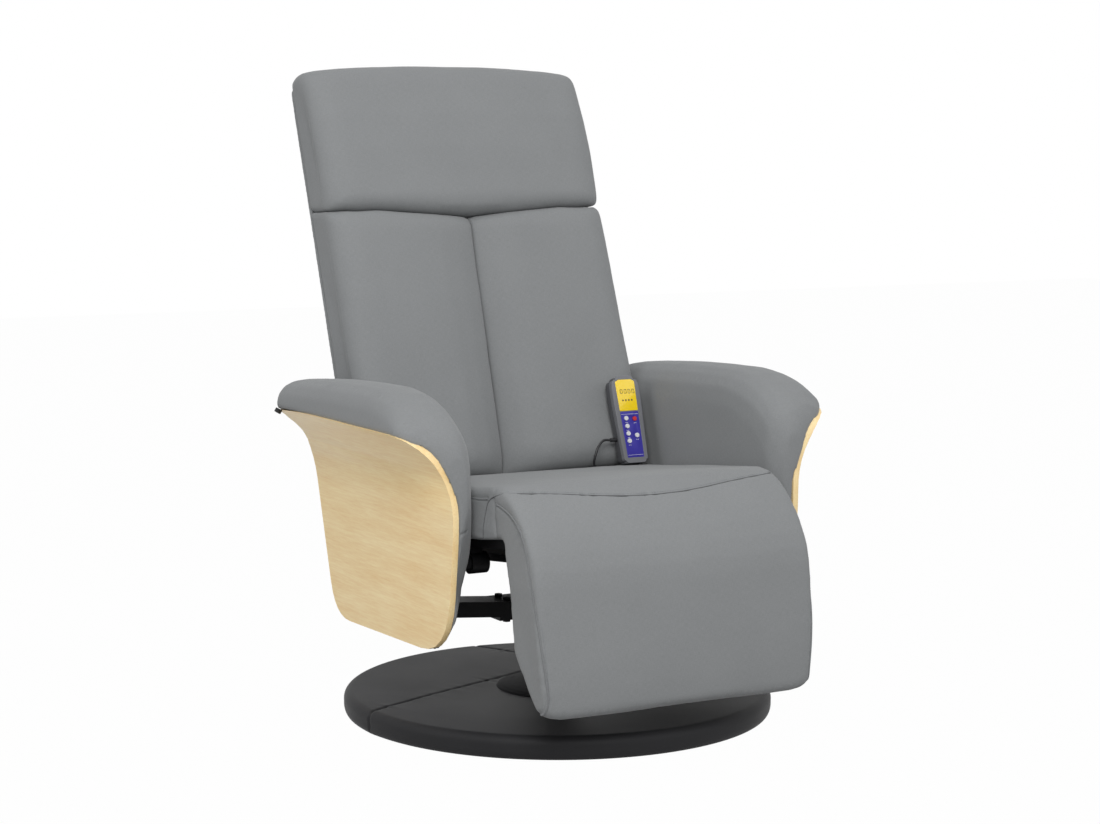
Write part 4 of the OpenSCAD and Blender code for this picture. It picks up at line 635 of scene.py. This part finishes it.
def fold(piece, wide, fine, seed):
    """Faint unevenness of cloth over foam."""
    mesh = piece.data
    out = mesh_points(mesh, "normal")
    shift = Vector((seed * 7.3, seed * 3.1, seed * 5.7))
    lift = [wide * noise.noise(v.co * 8.0 + shift) + fine * noise.noise(v.co * 30.0 - shift)
            for v in mesh.vertices]
    set_points(mesh, mesh_points(mesh) + out * np.array(lift)[:, None])


def lay_cloth(piece, flow, across=0):
    """Cloth map in metres: one way across the piece and one way along its flow line; the ends
    that face across are laid flat."""
    mesh = piece.data
    co = mesh_points(mesh)
    level = co.copy()
    level[:, across] = 0
    flow = np.array(flow, float)
    flow[:, across] = 0
    along = distance_to_path(level, flow)[1]
    loops = values_of(mesh.loops, "vertex_index", kind=int)
    facing = np.abs(values_of(mesh.polygons, "normal", 3)[:, across])
    end = np.repeat(facing > 0.75, values_of(mesh.polygons, "loop_total", kind=int))
    others = [axis for axis in range(3) if axis != across]
    laid = np.where(end[:, None], co[loops][:, others], np.c_[co[loops, across], along[loops]])
    layer = mesh.uv_layers.get("cloth") or mesh.uv_layers.new(name="cloth")
    layer.data.foreach_set("uv", laid.astype(np.float32).ravel())


def on_skin(piece, path, spacing=0.004, smooth=12):
    """Path points, evenly spaced and set on the surface of a piece, and the surface's normals."""
    path = np.array(path, float)
    run = np.r_[0, np.cumsum(np.linalg.norm(np.diff(path, axis=0), axis=1))]
    steps = max(int(run[-1] / spacing), 2)
    even = np.c_[[np.interp(np.linspace(0, run[-1], steps), run, path[:, axis]) for axis in range(3)]].T
    tree = BVHTree.FromPolygons([v.co for v in piece.data.vertices],
                                [p.vertices[:] for p in piece.data.polygons])
    hits = [tree.find_nearest(Vector(p)) for p in even]
    spots = np.array([hit[0] for hit in hits])
    for turn in range(smooth):
        spots[1:-1] = (spots[:-2] + 2 * spots[1:-1] + spots[2:]) / 4
    return spots, np.array([hit[1] for hit in hits])


stitching = bpy.data.node_groups.new("stitch_row", "GeometryNodeTree")
for label, way, kind in (("Seam", "INPUT", "Geometry"), ("Pitch", "INPUT", "Float"),
                         ("Thread Length", "INPUT", "Float"), ("Thread Radius", "INPUT", "Float"),
                         ("Seed", "INPUT", "Int"), ("Thread", "INPUT", "Material"),
                         ("Stitches", "OUTPUT", "Geometry")):
    stitching.interface.new_socket(label, in_out=way, socket_type="NodeSocket" + kind)
given = stitching.nodes.new("NodeGroupInput").outputs


def geometry_node(kind, **given_to):
    """A node of the stitch tree: words set it up, and its inputs get a number or a link."""
    node = stitching.nodes.new(kind)
    for name, source in given_to.items():
        if isinstance(source, str):
            setattr(node, name, source)
        elif isinstance(source, (int, float)):
            node.inputs[name].default_value = source
        else:
            stitching.links.new(source, node.inputs[name])
    return node


seam_curve = geometry_node("GeometryNodeMeshToCurve", Mesh=given["Seam"])
seam_points = geometry_node("GeometryNodeCurveToPoints", mode="LENGTH", Curve=seam_curve.outputs[0],
                            Length=given["Pitch"]).outputs
turned = geometry_node("FunctionNodeAlignRotationToVector", axis="Z", Vector=seam_points["Tangent"])
bead = geometry_node("GeometryNodeMeshUVSphere", Segments=6, Rings=5, Radius=1.0)
uneven = geometry_node("FunctionNodeRandomValue", data_type="FLOAT", Seed=given["Seed"])
uneven.inputs[2].default_value, uneven.inputs[3].default_value = 0.85, 1.12
half_thread = node_math(stitching, "MULTIPLY", given["Thread Length"], 0.5)
bead_size = geometry_node("ShaderNodeCombineXYZ", X=given["Thread Radius"], Y=given["Thread Radius"],
                          Z=node_math(stitching, "MULTIPLY", half_thread, uneven.outputs[1]))
laid_beads = geometry_node("GeometryNodeInstanceOnPoints", Points=seam_points["Points"],
                           Instance=bead.outputs["Mesh"], Rotation=turned.outputs[0],
                           Scale=bead_size.outputs[0])
real_beads = geometry_node("GeometryNodeRealizeInstances", Geometry=laid_beads.outputs[0])
threaded = geometry_node("GeometryNodeSetMaterial", Geometry=real_beads.outputs[0], Material=given["Thread"])
geometry_node("NodeGroupOutput", Stitches=threaded.outputs[0])


def stitch(name, lines, seed):
    """Rows of stitches along lines."""
    wanted = {"Pitch": 0.0048, "Thread Length": 0.0036, "Thread Radius": 0.00042, "Seed": seed,
              "Thread": thread}
    edges, start = [], 0
    for line in lines:
        edges += [(start + k, start + k + 1) for k in range(len(line) - 1)]
        start += len(line)
    mesh = bpy.data.meshes.new(name)
    mesh.from_pydata([tuple(p) for line in lines for p in line], edges, [])
    piece = put_in_scene(name, mesh)
    rows = piece.modifiers.new("stitch_rows", "NODES")
    rows.node_group = stitching
    for item in stitching.interface.items_tree:
        if item.item_type == "SOCKET" and item.name in wanted:
            rows[item.identifier] = wanted[item.name]
    apply_modifiers(piece)
    return piece


# Seat cushion and leg pad: one run of cloth from the seat over the knee to the foot's end, cut
# across by the crown seam. The cutting surface goes from that seam down the seat's front.
CROWN = [(0, -0.319, 0.410), (0.050, -0.317, 0.411), (0.100, -0.311, 0.415), (0.150, -0.303, 0.419),
         (0.200, -0.294, 0.422), (0.225, -0.290, 0.423), (0.240, -0.284, 0.424), (0.250, -0.271, 0.422),
         (0.258, -0.258, 0.418), (0.264, -0.246, 0.412), (0.300, -0.246, 0.412)]


def crown_at(x):
    """The crown seam's place at a distance across the seat."""
    out, y, z = np.array(CROWN).T
    return np.array([x, np.interp(abs(x), out, y), np.interp(abs(x), out, z)])


def ease(share):
    """A share from 0 to 1, with a soft start and a soft end."""
    return share * share * (3 - 2 * share)


def seat_front_at(x):
    """The foot of the seat's front, which turns back towards its sides."""
    return seat_point(x, 0.030 + 0.026 * ease(min(max((abs(x) - 0.190) / 0.060, 0), 1)), 0.0124)


def rounded_corner(a, b, radius):
    """Draws in what stands past a corner's round, where both distances from its centre pass 0."""
    far = np.hypot(a, b)
    pull = np.where((a > 0) & (b > 0) & (far > radius), radius / np.maximum(far, 1e-9), 1.0)
    return a * pull, b * pull


def turn_matrix(degrees):
    """Turns world y and z to a tilted part's own back and up; its transpose turns them again."""
    lean = math.radians(degrees)
    return np.array([[math.cos(lean), -math.sin(lean)], [math.sin(lean), math.cos(lean)]])


FOOT_ROUND, FOOT_START = 0.036, -0.16
SIDE_STEP, SIDE_FROM, SIDE_WIDE = 0.0142, 0.236, 0.030
STEP_FRONT, STEP_BACK, STEP_SPAN = 0.0265, 0.078, 0.052


def narrowed(co):
    """Rounds the leg pad's foot end, and draws the seat's sides in to the width of the leg pad
    in front of the side seam."""
    co = co.copy()
    turn, turn_r = turn_matrix(FOOT_TILT), FOOT_ROUND
    back, up = turn @ (co[:, 1:] - KNEE).T
    x = np.abs(co[:, 0])
    low = up < FOOT_START
    half, end, face = x[low].max() - turn_r, -up[low].min() - turn_r, -back[low].min() - turn_r
    side, down = rounded_corner(x - half, -up - end, turn_r)
    front, down = rounded_corner(-back - face, down, turn_r)
    placed = (turn.T @ np.array([-front - face, -down - end])).T + KNEE
    co[:, 1:] = np.where(low[:, None], placed, co[:, 1:])
    co[:, 0] = np.where(low, np.sign(co[:, 0]) * (side + half), co[:, 0])
    lean = math.radians(SEAT_TILT)
    back = (co[:, 1] - KNEE[0]) * math.cos(lean) - (co[:, 2] - KNEE[1]) * math.sin(lean)
    share = np.where(back < STEP_FRONT, 0, ease(np.clip((STEP_BACK - back) / STEP_SPAN, 0, 1)))
    outer = np.clip((np.abs(co[:, 0]) - SIDE_FROM) / SIDE_WIDE, 0, 1)
    co[:, 0] -= np.sign(co[:, 0]) * SIDE_STEP * share * outer
    return co


BLOCK_BELOW, BLOCK_ABOVE, BLOCK_DEPTH = 0.05, 0.07, (0, 1.2, 0)
cut_x = np.unique(np.r_[np.linspace(-0.3, 0.3, 61), [s * row[0] for row in CROWN for s in (-1, 1)]])
block_points = []
for x in cut_x:
    crown, foot = crown_at(x), seat_front_at(x)
    rise = (crown - foot) / np.linalg.norm(crown - foot)
    levels = [foot - rise * BLOCK_BELOW] + [foot + (crown - foot) * f for f in (0, 0.5, 1)]
    levels += [crown + rise * BLOCK_ABOVE]
    block_points += levels + [p + BLOCK_DEPTH for p in levels[::-1]]
block_ring = len(block_points) // len(cut_x)
block_faces = ring_faces(len(cut_x), block_ring, False)
last_ring = range(len(block_points))[-block_ring:]
block_faces += [tuple(range(block_ring))[::-1], tuple(last_ring)]


def cut_by_block(piece, operation):
    """Keeps the part of a piece inside the seat's block, or the part outside it."""
    block = linked_piece("cut_block", block_points, block_faces)
    cut = piece.modifiers.new("crown_cut", "BOOLEAN")
    cut.operation, cut.solver, cut.object = operation, "EXACT", block
    apply_modifiers(piece)
    bpy.data.objects.remove(block)


def stitch_line(piece, path):
    """A line for stitches, just proud of a piece's skin."""
    spots, facing = on_skin(piece, path)
    return spots + facing * 0.0002


seat_pad = soft_body("seat_cushion_cover", ["seat_cushion", "knee_roll", "calf_cushion"], 0.004, 9,
                     narrowed)
fold(seat_pad, 0.0012, 0.0004, 1)
leg_pad = put_in_scene("leg_pad_cover", seat_pad.data.copy())
cut_by_block(seat_pad, "INTERSECT")
cut_by_block(leg_pad, "DIFFERENCE")
SIDE_SEAM_X, SIDE_WELT_X, LEG_WELT_X, LEG_STITCH_X = 0.2635, 0.266, 0.252, 0.2435
SIDE_SEAM = ((0.0375, 0.0767), (0.0517, 0.032), (0.056, 0.0124))
crown_line = [crown_at(x) for x in np.linspace(-0.264, 0.264, 90)]
side_seams = [[seat_point(s * SIDE_SEAM_X, *place) for place in SIDE_SEAM] for s in (-1, 1)]
whole_crown = side_seams[0][::-1] + crown_line + side_seams[1]
seat_welts = [[seat_point(s * SIDE_WELT_X, back, 0.078) for back in np.linspace(0.040, 0.450, 60)]
              for s in (-1, 1)]
leg_profile = [np.array([0, y, z]) for y, z in ((-0.257, 0.407), (-0.297, 0.393), (-0.329, 0.375),
                                                (-0.355, 0.340), (-0.387, 0.246), (-0.419, 0.129))]
leg_profile += [foot_point(0, *place) for place in ((-0.082, -0.252), (-0.066, -0.263), (-0.052, -0.262))]
leg_welts = [smooth_path([p + (s * LEG_WELT_X, 0, 0) for p in leg_profile], 9) for s in (-1, 1)]
WELT_SEAM, CROWN_SEAM = (0.007, 0.0020, 0.0005), (0.005, 0.0008, 0.0004)
for piece, lines, seed in ((leg_pad, leg_welts, 11), (seat_pad, seat_welts, 12)):
    for line in lines:
        press_seam(piece, on_skin(piece, line, 0.008)[0], WELT_SEAM, seed)
for piece in (seat_pad, leg_pad):
    press_seam(piece, whole_crown, CROWN_SEAM, 13)
seat_flow = [seat_point(0, 0.474, 0.02), seat_point(0, 0.474, 0.06), seat_point(0, 0.44, 0.096),
             seat_point(0, 0.03, 0.096), (0, -0.319, 0.410)]
leg_flow = [seat_point(0, 0.06, 0.094), (0, -0.290, 0.428), (0, -0.319, 0.412), (0, -0.357, 0.383),
            (0, -0.383, 0.342), foot_point(0, -0.1, -0.062), foot_point(0, -0.1, -0.252),
            foot_point(0, -0.088, -0.264), foot_point(0, -0.03, -0.229)]
for piece, flow in ((seat_pad, seat_flow), (leg_pad, leg_flow)):
    piece.data.set_sharp_from_angle(angle=math.radians(55))
    lay_cloth(piece, flow)
    give_finish(piece, grey_cloth)
# A thin cord laid in the crown seam. Its cloth is much darker than the cover's: that dark colour is painted
# shade along the seam.
seam_painted_shade = cloth("seam_painted_shade", (0.150, 0.155, 0.160), (0.095, 0.098, 0.102), False)
seat_piping = tube("seat_side_welts", [on_skin(seat_pad, line)[0] for line in seat_welts], 0.0019,
                   welt_cloth)
crown_painted_shade_line = tube("crown_seam_painted_shade_line", [on_skin(seat_pad, whole_crown, 0.004, 8)[0]], 0.0009, seam_painted_shade)
leg_piping = tube("leg_pad_welts", [on_skin(leg_pad, line)[0] for line in leg_welts], 0.0021, welt_cloth)
crown_row = stitch_line(seat_pad, [p + (0, 0.003375, 0.002925) for p in crown_line[4:-4]])
crown_stitches = stitch("crown_seam_stitches", [crown_row], 5)
leg_rows = [smooth_path([p + (s * LEG_STITCH_X, -0.004, 0.003) for p in leg_profile[1:-1]], 9)
            for s in (-1, 1)]
leg_stitches = stitch("leg_pad_stitches", [stitch_line(leg_pad, row) for row in leg_rows], 6)
for piece in (seat_pad, seat_piping, crown_stitches, crown_painted_shade_line):
    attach(piece, "chair")
for piece in (leg_pad, leg_piping, leg_stitches):
    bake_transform(piece)
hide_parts("seat_cushion")
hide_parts("knee_roll", "calf_cushion")


# Back: two tall cushions and a head cushion, each a sewn cover over foam, butted together with
# sunk seams, and a thin upholstered panel closing the rear.
back_flow = [back_point(0, -0.084, 0.03), back_point(0, -0.084, 0.535)]
head_flow = [back_point(0, *place) for place in ((-0.084, 0.532), (-0.084, 0.74), (-0.068, 0.80),
                                                 (-0.035, 0.82), (0.012, 0.80), (0.02, 0.5))]
rear_flow = [back_point(0, 0.022, 0.82), back_point(0, 0.022, 0.0)]
FRONT_FACE, HEAD_SEAM, EDGE_FROM, EDGE_WIDE = 0.084, 0.532, 0.222, 0.052
EDGE_DROP, SEAM_REACH, SEAM_PULL, OVERHANG = 0.027, 0.060, 0.34, 0.0035


def plump(co):
    """Draws the back's outer edges round, and bows the seam under the head cushion."""
    turn = turn_matrix(BACK_LEAN)
    rear, along = turn @ (co[:, 1:] - HIP).T
    x = np.abs(co[:, 0])
    near = np.clip((x - EDGE_FROM) / EDGE_WIDE, 0, 1)
    drop = 1 - np.sqrt(np.maximum(1 - near ** 2, 0))
    front = np.clip((-rear - 0.004) / 0.080, 0, 1)
    rear = rear + EDGE_DROP * drop * front
    close = np.exp(-((along - HEAD_SEAM) / SEAM_REACH) ** 2)
    bow = np.interp(x, [0, 0.08, 0.18, 0.24, 0.274], [-0.006, -0.003, 0.004, 0.003, -0.003])
    deep = np.clip(rear + FRONT_FACE, 0, 0.100)
    along = along + (bow + SEAM_PULL * deep * near) * close
    overhang = np.exp(-((along - 0.556) / 0.022) ** 2) - np.exp(-((along - 0.520) / 0.014) ** 2)
    rear = rear - OVERHANG * overhang * front * (1 - near)
    placed = co.copy()
    placed[:, 1:] = (turn.T @ np.array([rear, along])).T + HIP
    return placed


FULL, THIN = (0.004, 9, plump, 0.0013, 0.0004), (0.0036, 4, None, 0.0004, 0.0002)
for name, node, flow, seed, build in (("back_cover_left", "back_cushion_left", back_flow, 3, FULL),
                                      ("back_cover_right", "back_cushion_right", back_flow, 4, FULL),
                                      ("head_cover", "head_cushion", head_flow, 5, FULL),
                                      ("rear_panel_cover", "rear_panel", rear_flow, 6, THIN)):
    cell, times, reshape, wide, fine = build
    piece = soft_body(name, [node], cell, times, reshape)
    fold(piece, wide, fine, seed)
    lay_cloth(piece, flow)
    give_finish(piece, grey_cloth)
    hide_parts(node)
    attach(piece, "back")


# Arms: foam and cloth wrapped over a bent plywood shell. The wood face is a separate bent panel,
# its veneer's grain running from front to back. Its edges stay crisp: the bevel finds no room there.
SHARP = math.radians(32)


def eased_copy(name, node, width):
    """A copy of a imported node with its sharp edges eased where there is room; it stands for it."""
    work = bmesh.new()
    mesh = packed_mesh(name, [node])
    work.from_mesh(mesh)
    bmesh.ops.dissolve_limit(work, angle_limit=math.radians(0.6), verts=work.verts, edges=work.edges)
    sharp = [e for e in work.edges if e.is_manifold and e.calc_face_angle(0) > math.radians(38)]
    bmesh.ops.bevel(work, geom=sharp, offset=width, segments=2, profile=0.5, affect="EDGES",
                    clamp_overlap=True)
    bmesh.ops.triangulate(work, faces=[f for f in work.faces if len(f.verts) > 4])
    work.to_mesh(mesh)
    work.free()
    all_smooth(mesh)
    mesh.set_sharp_from_angle(angle=SHARP)
    piece = put_in_scene(name, mesh)
    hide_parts(node)
    return piece


veneer, veneer_shader = new_material("light_veneer", (0.66, 0.50, 0.30), 0.42, Coat_Weight=0.12,
                                     Coat_Roughness=0.3)
veneer_tree = veneer.node_tree
veneer_split = veneer_tree.nodes.new("ShaderNodeSeparateXYZ")
veneer_tree.links.new(veneer_tree.nodes.new("ShaderNodeTexCoord").outputs["Object"], veneer_split.inputs[0])
grain_way = veneer_tree.nodes.new("ShaderNodeCombineXYZ")
for target, source in enumerate((1, 0, 2)):
    veneer_tree.links.new(veneer_split.outputs[source], grain_way.inputs[target])
wood_tone(veneer, veneer_shader, grain_way.outputs[0], (1.0, 0.81, 0.455), (0.88, 0.61, 0.275), 0.42)
PANEL_X, FLARE_FROM, FLARE_TO, FLARE_R, PANEL_DEEP = 0.320, 0.385, 0.514, 0.144, 0.0085
HELD_TOP, LIP_X, LIP_FOOT, LIP_TOP, LIP_DROP = 0.512, 0.335, 0.500, 0.556, 0.0028
FOOT_MIDDLE, FOOT_PUSH, FOOT_ANGLES = (-0.150, 0.270), 0.0125, (186, 290)
BAND_SEAM = 0.005, 0.0018, 0.0004


def behind_wood(co):
    """Keeps an arm's cover behind the outer face of its bent wood panel."""
    co = co.copy()
    rise = np.clip(co[:, 2] - FLARE_FROM, 0, FLARE_TO - FLARE_FROM)
    face = PANEL_X + FLARE_R - np.sqrt(FLARE_R ** 2 - rise ** 2) - PANEL_DEEP
    held = (co[:, 2] < HELD_TOP) & (np.abs(co[:, 0]) > face)
    co[:, 0] = np.where(held, np.sign(co[:, 0]) * face, co[:, 0])
    lip = np.clip((np.abs(co[:, 0]) - LIP_X) / 0.04, 0, 1) * np.clip((LIP_TOP - co[:, 2]) / 0.02, 0, 1)
    co[:, 2] -= LIP_DROP * lip * (co[:, 2] > LIP_FOOT)
    return co


def fuller_foot(co):
    """Fills an arm cover's lower front corner out to the edge of its wood panel."""
    co = co.copy()
    reach = co[:, 1:] - FOOT_MIDDLE
    far = np.hypot(*reach.T)
    angle = np.degrees(np.arctan2(reach[:, 1], reach[:, 0])) % 360
    first, last = FOOT_ANGLES
    share = ease(np.clip((angle - first) / 22, 0, 1) * np.clip((last - angle) / 24, 0, 1))
    push = FOOT_PUSH * share * np.clip((far - 0.03) / 0.04, 0, 1)
    co[:, 1:] += reach * (push / np.maximum(far, 1e-6))[:, None]
    return co


for side, sign in (("left", -1), ("right", 1)):
    arm = soft_body("arm_cover_" + side, ["arm_pad_" + side], 0.0035, 7, behind_wood)
    set_points(arm.data, fuller_foot(behind_wood(mesh_points(arm.data))))
    fold(arm, 0.0010, 0.0003, 7 + sign)
    arm_flow = [(sign * x, 0, z) for x, z in ((0.276, 0.17), (0.276, 0.50), (0.290, 0.545), (0.325, 0.566),
                                             (0.372, 0.556), (0.396, 0.525), (0.380, 0.495))]
    band = on_skin(arm, [(sign * x, -0.258, 0.359) for x in np.linspace(0.277, 0.312, 9)], 0.003, 2)[0]
    press_seam(arm, band, BAND_SEAM, 21)
    lay_cloth(arm, arm_flow, 1)
    give_finish(arm, grey_cloth)
    panel = eased_copy("arm_panel_face_" + side, "arm_panel_" + side, 0.0012)
    give_finish(panel, veneer)
    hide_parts("arm_pad_" + side)
    for piece, finish in ((arm, "fabric"), (panel, "veneer")):
        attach(piece, "chair")


# Hand control: two grey moulded shells screwed together, a yellow display window and a blue
# keypad foil with generic marks, six keys, and a rubber sleeve for the cord.
shell_grey = moulded("handset_grey", (0.155, 0.158, 0.172), (0.185, 0.188, 0.202), 0.46, 0.3, 2400)
screen_yellow = moulded("display_yellow", (0.95, 0.66, 0.004), (0.98, 0.70, 0.006), 0.22, 0.05, 900,
                        Coat_Weight=0.6, Coat_Roughness=0.08)
foil_blue = moulded("keypad_blue", (0.035, 0.028, 0.300), (0.045, 0.036, 0.340), 0.42, 0.2, 2200)
key_white = moulded("key_white", (0.72, 0.72, 0.74), (0.80, 0.80, 0.81), 0.4, 0.1, 2600)
key_red = moulded("key_red", (0.55, 0.030, 0.035), (0.64, 0.045, 0.05), 0.4, 0.1, 2600)
board_green = moulded("board_green", (0.010, 0.085, 0.035), (0.016, 0.11, 0.05), 0.4, 0.2, 1500)
ink_dark = moulded("display_marks", (0.05, 0.035, 0.01), (0.08, 0.06, 0.02), 0.6, 0.1, 2000)
ink_white = moulded("foil_marks", (0.75, 0.75, 0.80), (0.8, 0.8, 0.84), 0.5, 0.1, 2000)
strap_web = moulded("elastic_webbing", (0.025, 0.025, 0.027), (0.045, 0.045, 0.048), 0.9, 0.8, 520)
floor_felt = moulded("floor_felt", (0.035, 0.035, 0.037), (0.060, 0.060, 0.062), 0.95, 0.9, 800)
shell_dark = moulded("handset_dark", (0.060, 0.061, 0.067), (0.080, 0.081, 0.088), 0.5, 0.3, 2400)
HAND_X, LEAN = 0.221, math.radians(HAND_LEAN)
HAND_UP, HAND_FRONT = np.array([[0, math.sin(LEAN), math.cos(LEAN)], [0, -math.cos(LEAN), math.sin(LEAN)]])
CORNER_STEPS = [0.0018 * step - 0.0005 for step in range(9)]
shell_co = mesh_points(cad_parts["handset_front"].data)
shell_along, shell_half = shell_co @ HAND_UP, np.abs(shell_co[:, 0] - HAND_X)
shell_ends = []
for way, round_r in ((1, 0.0135), (-1, 0.0090)):
    end = (way * shell_along).max()
    shell_ends.append((way, end - round_r, shell_half[way * shell_along > end - 0.012].max() - round_r))


def nested_corner(a, b):
    """Turns nested square corners, where both distances pass 0, into nested round ones."""
    pull = np.where((a > 0) & (b > 0), np.maximum(a, b) / np.maximum(np.hypot(a, b), 1e-9), 1.0)
    return a * pull, b * pull


def round_ends(piece):
    """Rounds a piece of the hand control with the control's own four corners."""
    work = bmesh.new()
    work.from_mesh(piece.data)
    bmesh.ops.triangulate(work, faces=work.faces[:])
    cuts = [(Vector(HAND_UP), way * (level + step))
            for way, level, half in shell_ends for step in CORNER_STEPS]
    cuts += [(Vector((1, 0, 0)), HAND_X + side * (half + step))
             for way, level, half in shell_ends for side in (-1, 1) for step in CORNER_STEPS]
    for normal, distance in cuts:
        bmesh.ops.bisect_plane(work, geom=work.verts[:] + work.edges[:] + work.faces[:], dist=1e-6,
                               plane_co=normal * distance, plane_no=normal)
    bmesh.ops.triangulate(work, faces=[f for f in work.faces if len(f.verts) > 3])
    work.to_mesh(piece.data)
    work.free()
    co = mesh_points(piece.data)
    for way, level, half in shell_ends:
        x, rise = co[:, 0] - HAND_X, way * (co @ HAND_UP) - level
        side, lift = nested_corner(np.abs(x) - half, rise)
        co = co + np.outer(way * (lift - rise), HAND_UP)
        co[:, 0] = HAND_X + np.sign(x) * (side + half)
    set_points(piece.data, co)
    piece.data.set_sharp_from_angle(angle=SHARP)


for name, node, width, paint, finish in (
        ("handset_front_shell", "handset_front", 0.0010, shell_grey, "grey_plastic"),
        ("handset_back_shell", "handset_back", 0.0014, shell_dark, "dark_plastic"),
        ("display_window", "screen_window", 0.0003, screen_yellow, "screen"),
        ("keypad_foil", "keypad_overlay", 0.0001, foil_blue, "keypad")):
    shell = eased_copy(name, node, width)
    round_ends(shell)
    give_finish(shell, paint)
    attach(shell, "handset")
KEYS = ("power_button", "program_button", "back_button", "seat_button", "speed_button", "timer_button")
dress(key_red, KEYS[0])
dress(key_white, *KEYS[1:])
dress(board_green, "circuit_board")
dress(flex_rubber, "strain_relief")
dress(strap_web, "seat_webbing", "dust_cover")
dress(floor_felt, "floor_pad")


def hand_mark(low, high, x, along, wide, tall):
    """Corner points of a thin mark on a plate in the tilted front of the hand control."""
    corner = np.array([HAND_X, low[1], low[2]])
    middle = corner + HAND_UP * ((high[2] - low[2]) / math.cos(LEAN)) * along + np.array([x, 0, 0])
    return [middle + np.array([a * wide / 2, 0, 0]) + HAND_UP * b * tall / 2 + HAND_FRONT * depth
            for depth in (-0.0002, 0.00025) for a, b in ((-1, -1), (1, -1), (1, 1), (-1, 1))]


def marks(name, boxes, material):
    """One piece of thin flat-faced marks."""
    faces = [tuple(8 * k + i for i in face) for k in range(len(boxes)) for face in (
        (0, 3, 2, 1), (4, 5, 6, 7), (0, 1, 5, 4), (1, 2, 6, 5), (2, 3, 7, 6), (3, 0, 4, 7))]
    piece = linked_piece(name, [point for box in boxes for point in box], faces, material)
    piece.data.polygons.foreach_set("use_smooth", [False] * len(faces))
    return piece


DIGIT_PITCH = 0.008
window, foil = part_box("screen_window"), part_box("keypad_overlay")
digits = [hand_mark(*window, -0.012 + DIGIT_PITCH * k + dx, 0.62, 0.0009, 0.0065)
          for k in range(4) for dx in (0, 0.0042)]
digits += [hand_mark(*window, -0.0099 + DIGIT_PITCH * k, at, 0.0036, 0.0009)
           for k in range(4) for at in (0.56, 0.68)]
digits += [hand_mark(*window, 0.006 * k - 0.009, 0.34, 0.003, 0.003) for k in range(4)]
labels = [hand_mark(*foil, 0, at, 0.030 + 0.004 * at, 0.0005) for at in (0.055, 0.945)]
for key in KEYS:
    key_low, key_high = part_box(key)
    at = ((key_low[2] + key_high[2]) / 2 - foil[0][2] - 0.0066) / (foil[1][2] - foil[0][2])
    labels += [hand_mark(*foil, (key_low[0] + key_high[0]) / 2 - HAND_X + dx, at, 0.0022, 0.0008)
               for dx in (-0.0016, 0.0014)]
for name, boxes, ink, finish in (("display_digits", digits, ink_dark, "screen"),
                                 ("keypad_labels", labels, ink_white, "keypad")):
    piece = marks(name, boxes, ink)
    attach(piece, "handset")
